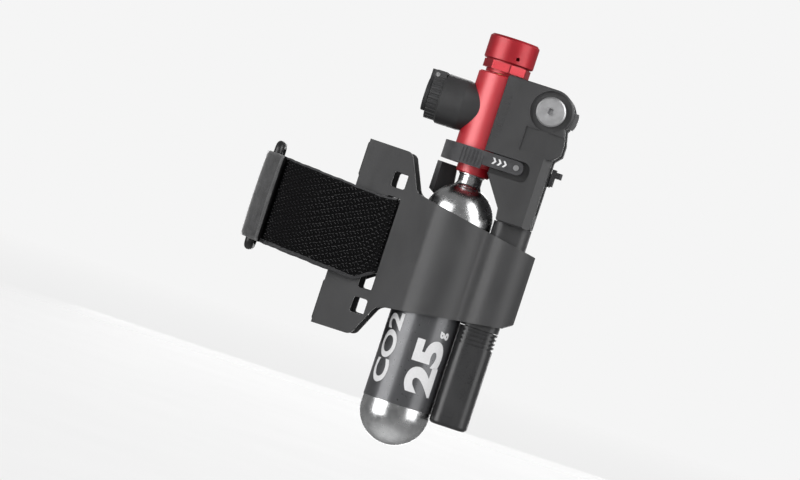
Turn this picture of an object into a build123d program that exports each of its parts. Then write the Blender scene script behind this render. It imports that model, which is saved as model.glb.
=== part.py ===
"""Seatpost-mounted CO2 inflator kit: holder, strap, cartridge, inflator head and folding tyre tool.

Frame: the origin is on the seatpost's axis, level with the strap's middle. +Z runs up the seatpost,
+X from the seatpost towards the kit, and -Y is the front, where the pivot screw's head is.
All sizes are in millimetres.
"""

import os
from math import acos, atan2, cos, degrees, radians, sin, sqrt

from build123d import *

# ---- Driving dimensions ----
POST_R = 15.8  # 31.6 mm seatpost
THROUGH = 50  # reach of a cut or a blank that goes right past a piece
FAR_X = 90.0  # right of every piece

# hook-and-loop strap and its loop
STRAP_T = 1.8
STRAP_SLOPE = -0.066  # the strap runs slightly downhill towards the holder
STRAP_TOP = 16.0  # top and bottom edges where they cross the seatpost's axis
STRAP_BOTTOM = -15.2
LAYER_GAP = 0.1
LOOP_BAR_R = 1.6
LOOP_BAR_Y = 4.4
LOOP_TOP = 20.4
LOOP_BOTTOM = -16.4
FOLD_LAND_DEG = 150  # where a folded layer comes to lie on the inner one
FOLD_END_DEG = 143
TAIL_END_DEG = 96

# holder
PLATE_HALF = 12.6
WALL = 2.0
CONTACT_DEG = 40  # where the V saddle touches the seatpost
PAD_T, PAD_W, PAD_SHIFT = 1.0, 9.2, 2.8
PAD_SPANS = ((24.9, 12.6), (-26.6, 14.6))  # middle and height of each pad
POCKET_R = 12.75
BULGE_R = 14.6
NOSE_X, NOSE_R = 68.2, 10.0
TUBE_POCKET_X, TUBE_POCKET_W = 67.2, 15.4
WINDOW_X0, WINDOW_X1 = 23.0, 28.0
WINDOW_Z0, WINDOW_Z1 = -18.3, 15.4
SMALL_WINDOW_TOP, SMALL_WINDOW_FOOT, SMALL_WINDOW_H = 21.4, -24.4, 5.5
REST_TOP, REST_FOOT = 32.7, 10.0  # backrest behind the cartridge's shoulder
REST_DEG0, REST_DEG1 = 90, 157

# cartridge, 25 g
AXIS_X = 48.0
CART_R = 12.4
FILM_T = 0.15
CART_BOTTOM = -67.8
SHOULDER_Z = 15.3
NECK_R, NECK_Z = 4.2, 31.4
THREAD_R, THREAD_TOP = 4.7, 39.0
FILM_Z0, FILM_Z1 = -53.0, 10.5

# inflator head
BARREL_R = 9.0
BARREL_Z0, BARREL_Z1 = 34.4, 67.4
COLLAR_R, COLLAR_Z0 = 6.0, 31.2
REG_BORE_R = 4.0
KNOB_R = 8.95
KNOB_Z0, KNOB_Z1 = 72.0, 80.9
BAND_Z0, BAND_R, FLATS = 68.8, 8.45, 8
RUN_GAP = 0.05
THREAD_ROOF = 41.6
NECK_BORE_R = 2.6
SEAL_LIFT = 0.35  # from the cartridge's rim to its seal
PIN_R, PIN_FLANGE_R = 0.85, 2.6
PASSAGE_R = 1.2
REG_BORE_Z0 = 51.4
POPPET_R, POPPET_T = 2.6, 0.9
SPRING_WIRE_R, SPRING_R, SPRING_PITCH, SPRING_HEIGHT = 0.35, 2.05, 1.6, 8.0
STEM_R = 3.95
STEM_SPIGOT_R = 3.0
STEM_TOP = 72.4
KNOB_FOOT, KNOB_FOOT_R = 67.7, 6.9
VENT_DEG, VENT_Z, VENT_R, VENT_START = -68, 74.2, 0.7, 4.0

# valve chuck, on the head's left
CHUCK_Z = 53.5
CHUCK_R = 9.05
CHUCK_X0 = 29.2
NOZZLE_X0 = 25.4
VALVE_R = 3.9  # takes a Schrader valve
CHUCK_X1, TAPER_X = 44.0, 37.5
CHUCK_END_R = 8.0
NOZZLE_R = 8.3
SPIGOT_R = 6.0
GASKET_X0, GASKET_X1, GASKET_R = 31.0, 35.2, 5.0
LIP_X, LIP_R = 33.0, 3.6  # the gasket's lip grips the valve
NEEDLE_X, NEEDLE_R = 33.4, 0.9
DEPRESSOR_T, GAS_HOLE_R, GAS_RING_R = 1.2, 1.2, 3.0
GRIP_RIBS, GRIP_NOTCH_R = 30, 0.5  # the nozzle's grip
COVER_X0, COVER_T = 23.7, 1.4
COVER_Z, COVER_W, COVER_H = 53.2, 13.2, 11.4
COVER_PIN_X, COVER_PIN_Z, COVER_PIN_R = 26.1, 60.9, 0.75
CHEEK_R, CHEEK_Y0, CHEEK_Y1 = 1.7, 3.0, 4.7
KNUCKLE_R, KNUCKLE_Y = 1.6, 2.7

# folding tool
PIVOT_X, PIVOT_Z = 68.2, 60.3
SHELL_HALF = 11.9
SHELL_X0, SHELL_TOP, SHELL_Z0 = 50.3, 68.3, 18.7
CRADLE_R, CRADLE_Z0 = 9.05, 30.0
SLOT_HALF = 4.6
SLOT_X0, SLOT_Z0 = 61.0, 24.6
PIVOT_R = 2.5
SCREW_HEAD_R, SCREW_HEAD_T = 5.2, 1.9
PIVOT_SOCKET_R, PIVOT_SOCKET_D, PIVOT_OVERHANG = 1.35, 1.5, 1.6
NUT_R, NUT_T = 5.0, 2.0
SPACER_R, SPACER_HALF = 5.0, 0.3
EYE_R, RECESS_R, RECESS_D = 8.0, 7.3, 1.4
PANEL_X0, PANEL_Z0, PANEL_Z1, PANEL_D = 61.6, 44.5, 53.2, 0.6
SCREW_SPOTS = ((59.0, 64.6), (59.0, 45.2), (67.6, 21.6))
SCREW_R, SCREW_CAP_R, SCREW_CAP_D = 1.2, 2.2, 1.6
SCREW_BORE_END, SCREW_END = 9.0, 8.6  # how far in front of the middle the bores and the screws end
CAP_SINK, SOCKET_R, SOCKET_D = 0.2, 1.1, 1.1  # the body screws' heads and hex sockets
TONGUE_TOP, TONGUE_W, TONGUE_D = 23.4, 7.0, 6.0
RAIL_TOP = 44.2  # the lower rail's sloped front edge ends here
ARM_POCKET_X0, ARM_POCKET_X1, RING_POCKET_X1 = 40.0, 67.5, 53.6  # pockets for the retainer

# rubber retainer
RETAINER_Z0, RETAINER_Z1 = 34.0, 40.4
RETAINER_R = 12.5
ARM_Z0 = 35.6
ARM_END_X, REAR_END_X = 65.2, 74.6
ARM_POCKET_H = RETAINER_Z1 - RETAINER_Z0 + 0.8
RING_X1 = 50.6  # right of it the retainer narrows to its arm
RIBS, RIB_X0, RIB_PITCH, RIB_R = 7, 42.9, 1.25, 0.38
PEG_X, PEG_Z, PEG_R, PEG_PROUD = 62.7, 38.0, 1.0, 0.35
EDGE_X = 73.8  # right edge of the shells at the retainer's height

# folded tools hang from the pivot, one in the middle and one on each side
TOOL_HUB_R = 6.2
TOOL_LENGTH = 34.6
TURN_R = PIVOT_R + RUN_GAP
MIDDLE_HALF = 1.0
SIDE_Y0, SIDE_Y1 = 2.2, 4.2
REAMER_R = 1.85
HEEL_R, HEEL_DEG0, HEEL_DEG1 = 9.5, -24, 14
SERRATIONS, SERRATION_PITCH, SERRATION_R = 8, 2.2, 1.15

# plug tube, its cap and what it holds
TUBE_X = 67.3
TUBE_W, TUBE_D, TUBE_CORNER = 13.4, 14.4, 4.2
TUBE_WALL = 1.6
TUBE_Z0, TUBE_Z1 = -19.2, 18.7
SPIGOT_Z0, SPIGOT_WALL = -27.0, 1.1
CAP_Z0, CAP_Z1 = -55.3, -19.5
PLUG_CORD_R, PLUG_Z0, PLUG_Z1 = 1.2, -50.0, 10.0
PLUG_PITCH_X, PLUG_PITCH_Y = 3.8, 2.8
GROOVES, GROOVE_TOP, GROOVE_PITCH, GROOVE_W, GROOVE_D = 4, 1.6, 1.5, 0.8, 0.55  # finger grooves on the cap
GROOVE_CLEAR = 1.6  # the cap stays smooth over this width, beside the cartridge

os.makedirs("parts", exist_ok=True)


def write(part, name):
    """Labels a finished piece and writes it as its own STEP file."""
    part.label = name
    export_step(part, f"parts/{name}.step")


def polar(radius, angle_deg, centre=(0, 0)):
    """A point at an angle from +X towards +Y around a centre in the XY plane."""
    a = radians(angle_deg)
    return (centre[0] + radius * cos(a), centre[1] + radius * sin(a))


def sheet(front):
    """A plane facing the front (-Y) at the given y, whose sketches read as seen from the front."""
    return Plane(origin=(0, front, 0), x_dir=(1, 0, 0), z_dir=(0, -1, 0))


# ---- Holder body: V saddle, open cell with strap windows, cartridge and tool pockets ----
FLAT = POST_R + PAD_T  # distance of the V's flats from the seatpost's axis


def flat_point(distance, y):
    """X of a V flat at the given distance from the seatpost's axis, where it reaches y."""
    a = radians(CONTACT_DEG)
    return (distance - abs(y) * sin(a)) / cos(a)


WEB_X = 18.0
HOLDER_X0 = 9.0
NOTCH_X, NOTCH_Y = -10, -30
saddle_notch = [
    (NOTCH_X, NOTCH_Y),
    (flat_point(FLAT, NOTCH_Y), NOTCH_Y),
    (WEB_X, -(FLAT - WEB_X * cos(radians(CONTACT_DEG))) / sin(radians(CONTACT_DEG))),
]
CELL_X = WEB_X + WALL
cell_flat = FLAT + WALL
cell_y = (cell_flat - CELL_X * cos(radians(CONTACT_DEG))) / sin(radians(CONTACT_DEG))
CELL_HALF = PLATE_HALF - WALL

with BuildPart() as backrest:
    with BuildSketch(Plane.XY.offset(REST_FOOT)):
        with BuildLine():
            CenterArc((AXIS_X, 0), BULGE_R, REST_DEG0, REST_DEG1 - REST_DEG0)
            Line(polar(BULGE_R, REST_DEG1, (AXIS_X, 0)), polar(POCKET_R, REST_DEG1, (AXIS_X, 0)))
            CenterArc((AXIS_X, 0), POCKET_R, REST_DEG1, REST_DEG0 - REST_DEG1)
            Line(polar(POCKET_R, REST_DEG0, (AXIS_X, 0)), polar(BULGE_R, REST_DEG0, (AXIS_X, 0)))
        make_face()
    extrude(amount=REST_TOP - REST_FOOT)
    with BuildSketch(sheet(0)):
        with BuildLine():
            Polyline(
                (34, REST_TOP), (41.4, REST_TOP), (42.2, 26.0), (47.5, 20.5), (47.5, REST_FOOT),
                (37.6, REST_FOOT), (37.6, 20.6), (34, 22.8), close=True,
            )
        make_face()
    extrude(amount=THROUGH, both=True, mode=Mode.INTERSECT)

with BuildPart() as holder_body:
    with BuildSketch(Plane.XY.offset(-THROUGH)) as plan:
        with Locations(((HOLDER_X0 + AXIS_X) / 2, 0)):
            Rectangle(AXIS_X - HOLDER_X0, 2 * PLATE_HALF)
        with Locations((AXIS_X, 0)):
            Circle(BULGE_R)
        with Locations((NOSE_X, 0)):
            Circle(NOSE_R)
        creases = [v for v in plan.vertices() if 38 < v.X < 70 and abs(v.Y) > 5]
        fillet(creases, 4.0)
        with BuildLine():
            Polyline(*saddle_notch, *[(x, -y) for x, y in saddle_notch[::-1]], close=True)
        make_face(mode=Mode.SUBTRACT)
        with BuildLine():
            Polyline(
                (flat_point(cell_flat, -CELL_HALF), -CELL_HALF),
                (CELL_X, -cell_y),
                (CELL_X, cell_y),
                (flat_point(cell_flat, -CELL_HALF), CELL_HALF),
                (AXIS_X, CELL_HALF),
                (AXIS_X, -CELL_HALF),
                close=True,
            )
        make_face(mode=Mode.SUBTRACT)
        with Locations((AXIS_X, 0)):
            Circle(BULGE_R - 0.05, mode=Mode.ADD)
            Circle(POCKET_R, mode=Mode.SUBTRACT)
        with Locations((TUBE_POCKET_X, 0)):
            RectangleRounded(TUBE_POCKET_W, TUBE_POCKET_W, 4.8, mode=Mode.SUBTRACT)
    extrude(amount=2 * THROUGH)
    with BuildSketch(sheet(0)):
        with BuildLine():
            FilletPolyline(
                (HOLDER_X0, 32.2), (26.8, 32.0), (32.6, 19.1), (78.4, 10.4), (78.1, -14.3), (74.4, -16.7),
                (31.2, -22.7), (25.6, -34.8), (HOLDER_X0, -34.9),
                radius=[2.4, 3.2, 0.8, 1.0, 1.0, 4.0, 2.4],
            )
            Line((HOLDER_X0, -34.9), (HOLDER_X0, 32.2))
        make_face()
    extrude(amount=THROUGH, both=True, mode=Mode.INTERSECT)
    with BuildSketch(sheet(0)):
        window_x = (WINDOW_X0 + WINDOW_X1) / 2
        width = WINDOW_X1 - WINDOW_X0
        with Locations((window_x, (WINDOW_Z0 + WINDOW_Z1) / 2)):
            RectangleRounded(width, WINDOW_Z1 - WINDOW_Z0, 0.8)
        with Locations((window_x, SMALL_WINDOW_TOP), (window_x, SMALL_WINDOW_FOOT)):
            RectangleRounded(width, SMALL_WINDOW_H, 0.8)
    extrude(amount=THROUGH, both=True, mode=Mode.SUBTRACT)
    # Backrest: the pocket's rear wall stands taller behind the cartridge's shoulder.
    add(backrest.part)
write(holder_body.part, "holder_body")

# ---- Saddle pads: one rubber strip on each flat of the V, above and below the strap ----
with BuildPart() as saddle_pads:
    for side in (-1, 1):
        flat = Plane(
            origin=(POST_R * cos(radians(CONTACT_DEG)), side * POST_R * sin(radians(CONTACT_DEG)), 0),
            x_dir=(0, 0, 1),
            z_dir=(cos(radians(CONTACT_DEG)), side * sin(radians(CONTACT_DEG)), 0),
        )
        across = side * PAD_SHIFT
        with BuildSketch(flat):
            for middle, height in PAD_SPANS:
                with Locations((middle, across)):
                    RectangleRounded(height, PAD_W, 1.0)
        extrude(amount=PAD_T)
write(saddle_pads.part, "saddle_pads")

# ---- Strap: one ribbon, round the seatpost, through the holder's window, folded round both loop bars ----
INNER = POST_R + STRAP_T / 2
OUTER = POST_R + STRAP_T + LAYER_GAP + STRAP_T / 2
WRAP = LOOP_BAR_R + LAYER_GAP + STRAP_T / 2
BAR_DISTANCE = INNER + WRAP
BAR_DEG = degrees(atan2(LOOP_BAR_Y, sqrt(BAR_DISTANCE**2 - LOOP_BAR_Y**2)))
BAR_X = -sqrt(BAR_DISTANCE**2 - LOOP_BAR_Y**2)
FACE_Y = PLATE_HALF + STRAP_T / 2 + 0.15
PASS_X = 26.9  # middle of the strap where it passes through the window
BEND_R = 2.6
LEAVE_DEG = 58  # direction, past straight outwards, in which the folded layer leaves its bar
bend_corner = (PASS_X - BEND_R, FACE_Y)
corner_reach = sqrt(bend_corner[0] ** 2 + bend_corner[1] ** 2)
post_tangent = degrees(atan2(FACE_Y, bend_corner[0]) + acos(INNER / corner_reach))

with BuildPart() as strap_webbing:
    with BuildSketch(Plane.XY.offset(-THROUGH)):
        for side, end_deg in ((-1, FOLD_END_DEG), (1, TAIL_END_DEG)):
            bar = (BAR_X, side * LOOP_BAR_Y)
            leave = polar(WRAP, side * (180 - LEAVE_DEG), bar)
            land = polar(OUTER, side * FOLD_LAND_DEG)
            tangent = polar(INNER, side * post_tangent)
            corner = (bend_corner[0], side * FACE_Y)
            with BuildLine():
                CenterArc((0, 0), INNER, side * post_tangent, side * (180 - BAR_DEG - post_tangent))
            trace(line_width=STRAP_T)
            with BuildLine():
                Line(tangent, corner)
            trace(line_width=STRAP_T)
            with BuildLine():
                CenterArc((corner[0], corner[1] - side * BEND_R), BEND_R, side * 90, side * -90)
            trace(line_width=STRAP_T)
            with BuildLine():
                Line((PASS_X, corner[1] - side * BEND_R), (PASS_X, 0))
            trace(line_width=STRAP_T)
            with BuildLine():
                CenterArc(bar, WRAP, side * -BAR_DEG, side * -(180 + LEAVE_DEG - BAR_DEG))
            trace(line_width=STRAP_T)
            with BuildLine():
                Line(leave, land)
            trace(line_width=STRAP_T)
            with BuildLine():
                CenterArc((0, 0), OUTER, side * FOLD_LAND_DEG, side * (end_deg - FOLD_LAND_DEG))
            trace(line_width=STRAP_T)
    extrude(amount=2 * THROUGH)
    slope_normal = (-STRAP_SLOPE, 0, 1)
    split(bisect_by=Plane(origin=(0, 0, STRAP_TOP), z_dir=slope_normal), keep=Keep.BOTTOM)
    split(bisect_by=Plane(origin=(0, 0, STRAP_BOTTOM), z_dir=slope_normal), keep=Keep.TOP)
write(strap_webbing.part, "strap_webbing")

# ---- Loop: round-bar rectangular loop that the strap folds round ----
with BuildPart() as strap_loop:
    with BuildLine(Plane(origin=(BAR_X, 0, 0), x_dir=(0, 1, 0), z_dir=(1, 0, 0))) as loop_path:
        Polyline(
            (LOOP_BAR_Y, LOOP_TOP), (LOOP_BAR_Y, LOOP_BOTTOM), (-LOOP_BAR_Y, LOOP_BOTTOM),
            (-LOOP_BAR_Y, LOOP_TOP), close=True,
        )
        fillet(loop_path.vertices(), 2.4)
    path = loop_path.wires()[0]
    with BuildSketch(Plane(origin=path @ 0, z_dir=path % 0)):
        Circle(LOOP_BAR_R)
    sweep(path=path)
write(strap_loop.part, "strap_loop")

# ---- Cartridge: drawn steel shell, printed film, pierced seal ----
STEEL_R = CART_R - FILM_T
STEEL_T = 1.6
DOME_Z = CART_BOTTOM + STEEL_R
cartridge_axis = Axis((AXIS_X, 0, 0), (0, 0, 1))


def bottle_outline(radius, neck, top):
    """Half outline of the cartridge at a radius, up to its neck's top, as (x from its axis, z) lines."""
    blend = 2.2
    reach = radius + blend
    side = neck + blend
    blend_z = SHOULDER_Z + sqrt(reach**2 - side**2)
    meet = (radius / reach * side, SHOULDER_Z + radius / reach * (blend_z - SHOULDER_Z))
    turn = degrees(atan2(blend_z - meet[1], side - meet[0]))
    with BuildLine() as half:
        CenterArc((0, DOME_Z), radius, -90, 90)
        Line((radius, DOME_Z), (radius, SHOULDER_Z))
        CenterArc((0, SHOULDER_Z), radius, 0, degrees(atan2(meet[1] - SHOULDER_Z, meet[0])))
        CenterArc((side, blend_z), blend, 180, turn)
        Line((neck, blend_z), (neck, top))
        Line((neck, top), (0, top))
        Line((0, top), (0, DOME_Z - radius))
    return half.line


with BuildPart() as cartridge_shell:
    with BuildSketch(Plane(origin=(AXIS_X, 0, 0), x_dir=(1, 0, 0), z_dir=(0, -1, 0))):
        add(bottle_outline(STEEL_R, NECK_R, NECK_Z))
        make_face()
        with BuildLine():
            Polyline(
                (0, NECK_Z - 1), (NECK_R, NECK_Z - 1), (THREAD_R, NECK_Z - 0.5),
                (THREAD_R, THREAD_TOP - 0.6), (THREAD_R - 0.6, THREAD_TOP), (0, THREAD_TOP), close=True,
            )
        make_face()
        add(bottle_outline(STEEL_R - STEEL_T, NECK_BORE_R, THREAD_TOP + 1))
        make_face(mode=Mode.SUBTRACT)
    revolve(axis=cartridge_axis)
write(cartridge_shell.part, "cartridge_shell")

with BuildPart() as cartridge_film:
    with BuildSketch(Plane.XY.offset(FILM_Z0)):
        with Locations((AXIS_X, 0)):
            Circle(CART_R)
            Circle(STEEL_R, mode=Mode.SUBTRACT)
    extrude(amount=FILM_Z1 - FILM_Z0)
write(cartridge_film.part, "cartridge_film")

with BuildPart() as cartridge_seal:
    with BuildSketch(Plane.XY.offset(THREAD_TOP - 1.4)):
        with Locations((AXIS_X, 0)):
            Circle(NECK_BORE_R)
            Circle(PIN_R + RUN_GAP, mode=Mode.SUBTRACT)
    extrude(amount=0.6)
write(cartridge_seal.part, "cartridge_seal")

# ---- Inflator head: barrel with cartridge thread, gas passage, regulator bore and side port ----
head_axis = Axis((AXIS_X, 0, 0), (0, 0, 1))
head_plane = Plane(origin=(AXIS_X, 0, 0), x_dir=(1, 0, 0), z_dir=(0, -1, 0))

with BuildPart() as head_barrel:
    with BuildSketch(head_plane):
        with BuildLine():
            Polyline(
                (THREAD_R + RUN_GAP, COLLAR_Z0), (COLLAR_R - 0.4, COLLAR_Z0), (COLLAR_R, COLLAR_Z0 + 0.4),
                (COLLAR_R, BARREL_Z0), (BARREL_R - 0.7, BARREL_Z0), (BARREL_R, BARREL_Z0 + 0.7),
                (BARREL_R, BARREL_Z1 - 0.5), (BARREL_R - 0.5, BARREL_Z1), (REG_BORE_R, BARREL_Z1),
                (REG_BORE_R, REG_BORE_Z0), (PASSAGE_R, REG_BORE_Z0), (PASSAGE_R, THREAD_ROOF),
                (THREAD_R + RUN_GAP, THREAD_ROOF), close=True,
            )
        make_face()
    revolve(axis=head_axis)
    with BuildSketch(Plane(origin=(AXIS_X - BARREL_R - 1, 0, CHUCK_Z), z_dir=(1, 0, 0))):
        Circle(PASSAGE_R)
    extrude(amount=BARREL_R + 1 - REG_BORE_R + 0.5, mode=Mode.SUBTRACT)
write(head_barrel.part, "head_barrel")

with BuildPart() as piercing_pin:
    with BuildSketch(head_plane):
        with BuildLine():
            Polyline(
                (0.35, THREAD_TOP - 2.2), (PIN_R, THREAD_TOP - 1.7), (PIN_R, THREAD_ROOF - 1.2),
                (PIN_FLANGE_R, THREAD_ROOF - 1.2), (PIN_FLANGE_R, THREAD_ROOF), (0.35, THREAD_ROOF),
                close=True,
            )
        make_face()
    revolve(axis=head_axis)
write(piercing_pin.part, "piercing_pin")

with BuildPart() as neck_seal:
    with BuildSketch(Plane.XY.offset(THREAD_TOP + SEAL_LIFT)):
        with Locations((AXIS_X, 0)):
            Circle(THREAD_R)
            Circle(NECK_BORE_R, mode=Mode.SUBTRACT)
    extrude(amount=THREAD_ROOF - THREAD_TOP - SEAL_LIFT)
write(neck_seal.part, "neck_seal")

with BuildPart() as valve_poppet:
    with BuildSketch(head_plane):
        with BuildLine():
            Polyline(
                (0, REG_BORE_Z0), (POPPET_R, REG_BORE_Z0), (POPPET_R, REG_BORE_Z0 + POPPET_T),
                (1.4, REG_BORE_Z0 + POPPET_T), (1.4, REG_BORE_Z0 + 2.4), (0, REG_BORE_Z0 + 2.4), close=True,
            )
        make_face()
    revolve(axis=head_axis)
write(valve_poppet.part, "valve_poppet")

with BuildPart() as regulator_spring:
    spring_z0 = REG_BORE_Z0 + POPPET_T + SPRING_WIRE_R + 0.02
    with BuildLine(Plane(origin=(AXIS_X, 0, spring_z0))) as coil:
        Helix(pitch=SPRING_PITCH, height=SPRING_HEIGHT, radius=SPRING_R)
    with BuildSketch(Plane(origin=coil.line @ 0, z_dir=coil.line % 0)):
        Circle(SPRING_WIRE_R)
    sweep(path=coil.line, is_frenet=True)
write(regulator_spring.part, "regulator_spring")

# ---- Regulator knob, its stem and the stem's O-ring ----
with BuildPart() as regulator_knob:
    with BuildSketch(head_plane):
        with BuildLine():
            Polyline(
                (STEM_SPIGOT_R, KNOB_FOOT), (KNOB_FOOT_R, KNOB_FOOT), (KNOB_FOOT_R, BAND_Z0),
                (BAND_R, BAND_Z0),
                (BAND_R, KNOB_Z0 - 0.3), (BAND_R - 0.6, KNOB_Z0 - 0.3), (BAND_R - 0.6, KNOB_Z0),
                (KNOB_R - 0.5, KNOB_Z0), (KNOB_R, KNOB_Z0 + 0.5), (KNOB_R, KNOB_Z1 - 0.8),
                (KNOB_R - 0.8, KNOB_Z1), (0, KNOB_Z1), (0, STEM_TOP), (STEM_SPIGOT_R, STEM_TOP), close=True,
            )
        make_face()
    revolve(axis=head_axis)
    with BuildSketch(Plane.XY.offset(BAND_Z0)):
        with Locations((AXIS_X, 0)):
            Circle(BAND_R + 1)
            turn = 360 / FLATS / 4  # a quarter of a flat, so that one flat looks slightly left of the front
            RegularPolygon(BAND_R - 0.55, FLATS, major_radius=False, rotation=turn, mode=Mode.SUBTRACT)
    extrude(amount=KNOB_Z0 - 0.3 - BAND_Z0, mode=Mode.SUBTRACT)
    vent_start = polar(VENT_START, VENT_DEG, (AXIS_X, 0))
    with BuildSketch(Plane(origin=(*vent_start, VENT_Z), z_dir=(*polar(1, VENT_DEG), 0))):
        Circle(VENT_R)
    extrude(amount=KNOB_R, mode=Mode.SUBTRACT)
write(regulator_knob.part, "regulator_knob")

STEM_FOOT = 61.9
O_RING_Z, O_RING_R = 64.6, 0.53
GROOVE_R, GROOVE_HALF = STEM_R - 2 * O_RING_R, 0.6
with BuildPart() as regulator_stem:
    with BuildSketch(head_plane):
        with BuildLine():
            Polyline(
                (0, STEM_FOOT), (STEM_R - 0.5, STEM_FOOT), (STEM_R, STEM_FOOT + 0.5),
                (STEM_R, O_RING_Z - GROOVE_HALF), (GROOVE_R, O_RING_Z - GROOVE_HALF),
                (GROOVE_R, O_RING_Z + GROOVE_HALF), (STEM_R, O_RING_Z + GROOVE_HALF), (STEM_R, KNOB_FOOT),
                (STEM_SPIGOT_R, KNOB_FOOT), (STEM_SPIGOT_R, STEM_TOP), (0, STEM_TOP),
                close=True,
            )
        make_face()
    revolve(axis=head_axis)
write(regulator_stem.part, "regulator_stem")

with BuildPart() as stem_o_ring:
    with BuildSketch(head_plane):
        with Locations((STEM_R - O_RING_R, O_RING_Z)):
            Circle(O_RING_R)
    revolve(axis=head_axis)
write(stem_o_ring.part, "stem_o_ring")

# ---- Valve chuck: body on the barrel's side, ribbed nozzle, gasket, depressor and dust cover ----
chuck_plane = Plane(origin=(0, 0, CHUCK_Z), x_dir=(1, 0, 0), z_dir=(0, -1, 0))
chuck_axis = Axis((0, 0, CHUCK_Z), (1, 0, 0))

with BuildPart() as chuck_body:
    with BuildSketch(chuck_plane):
        with BuildLine():
            Polyline(
                (CHUCK_X0, SPIGOT_R), (CHUCK_X0, CHUCK_R - 0.6), (CHUCK_X0 + 0.6, CHUCK_R),
                (TAPER_X, CHUCK_R), (CHUCK_X1, CHUCK_END_R), (CHUCK_X1, PASSAGE_R),
                (GASKET_X1 + DEPRESSOR_T, PASSAGE_R),
                (GASKET_X1 + DEPRESSOR_T, GASKET_R), (GASKET_X0, GASKET_R), (GASKET_X0, SPIGOT_R),
                close=True,
            )
        make_face()
    revolve(axis=chuck_axis)
    with BuildSketch(Plane.XY.offset(CHUCK_Z - THROUGH)):
        with Locations((AXIS_X, 0)):
            Circle(BARREL_R)
    extrude(amount=2 * THROUGH, mode=Mode.SUBTRACT)
write(chuck_body.part, "chuck_body")

with BuildPart() as chuck_nozzle:
    with BuildSketch(Plane(origin=(NOZZLE_X0, 0, CHUCK_Z), x_dir=(0, 1, 0), z_dir=(1, 0, 0))):
        Circle(NOZZLE_R)
        Circle(VALVE_R, mode=Mode.SUBTRACT)
        with PolarLocations(NOZZLE_R + 0.1, GRIP_RIBS):
            Circle(GRIP_NOTCH_R, mode=Mode.SUBTRACT)
    extrude(amount=CHUCK_X0 - NOZZLE_X0)
    with BuildSketch(Plane(origin=(CHUCK_X0, 0, CHUCK_Z), x_dir=(0, 1, 0), z_dir=(1, 0, 0))):
        Circle(SPIGOT_R)
        Circle(VALVE_R, mode=Mode.SUBTRACT)
    extrude(amount=GASKET_X0 - CHUCK_X0)
    # Two cheeks carry the dust cover's pin.
    with BuildSketch(sheet(0)):
        with Locations((COVER_PIN_X, COVER_PIN_Z)):
            Circle(CHEEK_R)
        with Locations(((COVER_PIN_X + CHUCK_X0) / 2, COVER_PIN_Z)):
            Rectangle(CHUCK_X0 - COVER_PIN_X, 2 * CHEEK_R)
        with Locations((CHUCK_X0 - 1.1, COVER_PIN_Z - 1.6)):
            Rectangle(2.2, 2.6)
    extrude(amount=CHEEK_Y1, both=True)
    with BuildSketch(sheet(0)):
        with Locations((COVER_PIN_X + 0.4, COVER_PIN_Z + 1)):
            Rectangle(4.4, 6.2)
    extrude(amount=CHEEK_Y0, both=True, mode=Mode.SUBTRACT)
    with BuildSketch(sheet(0)):
        with Locations((COVER_PIN_X, COVER_PIN_Z)):
            Circle(COVER_PIN_R)
    extrude(amount=CHEEK_Y1 + 1, both=True, mode=Mode.SUBTRACT)
write(chuck_nozzle.part, "chuck_nozzle")

with BuildPart() as chuck_gasket:
    with BuildSketch(Plane(origin=(GASKET_X0, 0, CHUCK_Z), x_dir=(0, 1, 0), z_dir=(1, 0, 0))):
        Circle(GASKET_R)
        Circle(LIP_R, mode=Mode.SUBTRACT)
    extrude(amount=GASKET_X1 - GASKET_X0)
    with BuildSketch(Plane(origin=(GASKET_X0, 0, CHUCK_Z), x_dir=(0, 1, 0), z_dir=(1, 0, 0))):
        Circle(VALVE_R)
    extrude(amount=LIP_X - GASKET_X0, mode=Mode.SUBTRACT)
write(chuck_gasket.part, "chuck_gasket")

with BuildPart() as valve_depressor:
    with BuildSketch(Plane(origin=(GASKET_X1, 0, CHUCK_Z), x_dir=(0, 1, 0), z_dir=(1, 0, 0))):
        Circle(GASKET_R)
        with PolarLocations(GAS_RING_R, 4):
            Circle(GAS_HOLE_R, mode=Mode.SUBTRACT)
    extrude(amount=DEPRESSOR_T)
    with BuildSketch(Plane(origin=(NEEDLE_X, 0, CHUCK_Z), z_dir=(1, 0, 0))):
        Circle(NEEDLE_R)
    extrude(amount=GASKET_X1 + 0.2 - NEEDLE_X)
write(valve_depressor.part, "valve_depressor")

with BuildPart() as dust_cover:
    with BuildSketch(Plane(origin=(COVER_X0, 0, 0), x_dir=(0, 1, 0), z_dir=(1, 0, 0))):
        with Locations((0, COVER_Z)):
            RectangleRounded(COVER_W, COVER_H, 5.0)
        with Locations((0, COVER_PIN_Z - 0.9)):
            Rectangle(2 * KNUCKLE_Y, 5.0)
    extrude(amount=COVER_T)
    with BuildSketch(sheet(0)):
        with Locations((COVER_PIN_X, COVER_PIN_Z)):
            Circle(KNUCKLE_R)
        with Locations(((COVER_X0 + COVER_PIN_X) / 2, COVER_PIN_Z)):
            Rectangle(COVER_PIN_X - COVER_X0, 2 * KNUCKLE_R)
    extrude(amount=KNUCKLE_Y, both=True)
    with BuildSketch(sheet(0)):
        with Locations((COVER_PIN_X, COVER_PIN_Z)):
            Circle(COVER_PIN_R + RUN_GAP)
    extrude(amount=KNUCKLE_Y + 1, both=True, mode=Mode.SUBTRACT)
write(dust_cover.part, "dust_cover")

with BuildPart() as dust_cover_pin:
    with BuildSketch(sheet(0)):
        with Locations((COVER_PIN_X, COVER_PIN_Z)):
            Circle(COVER_PIN_R)
    extrude(amount=CHEEK_Y1 + 0.2, both=True)
write(dust_cover_pin.part, "dust_cover_pin")

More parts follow.
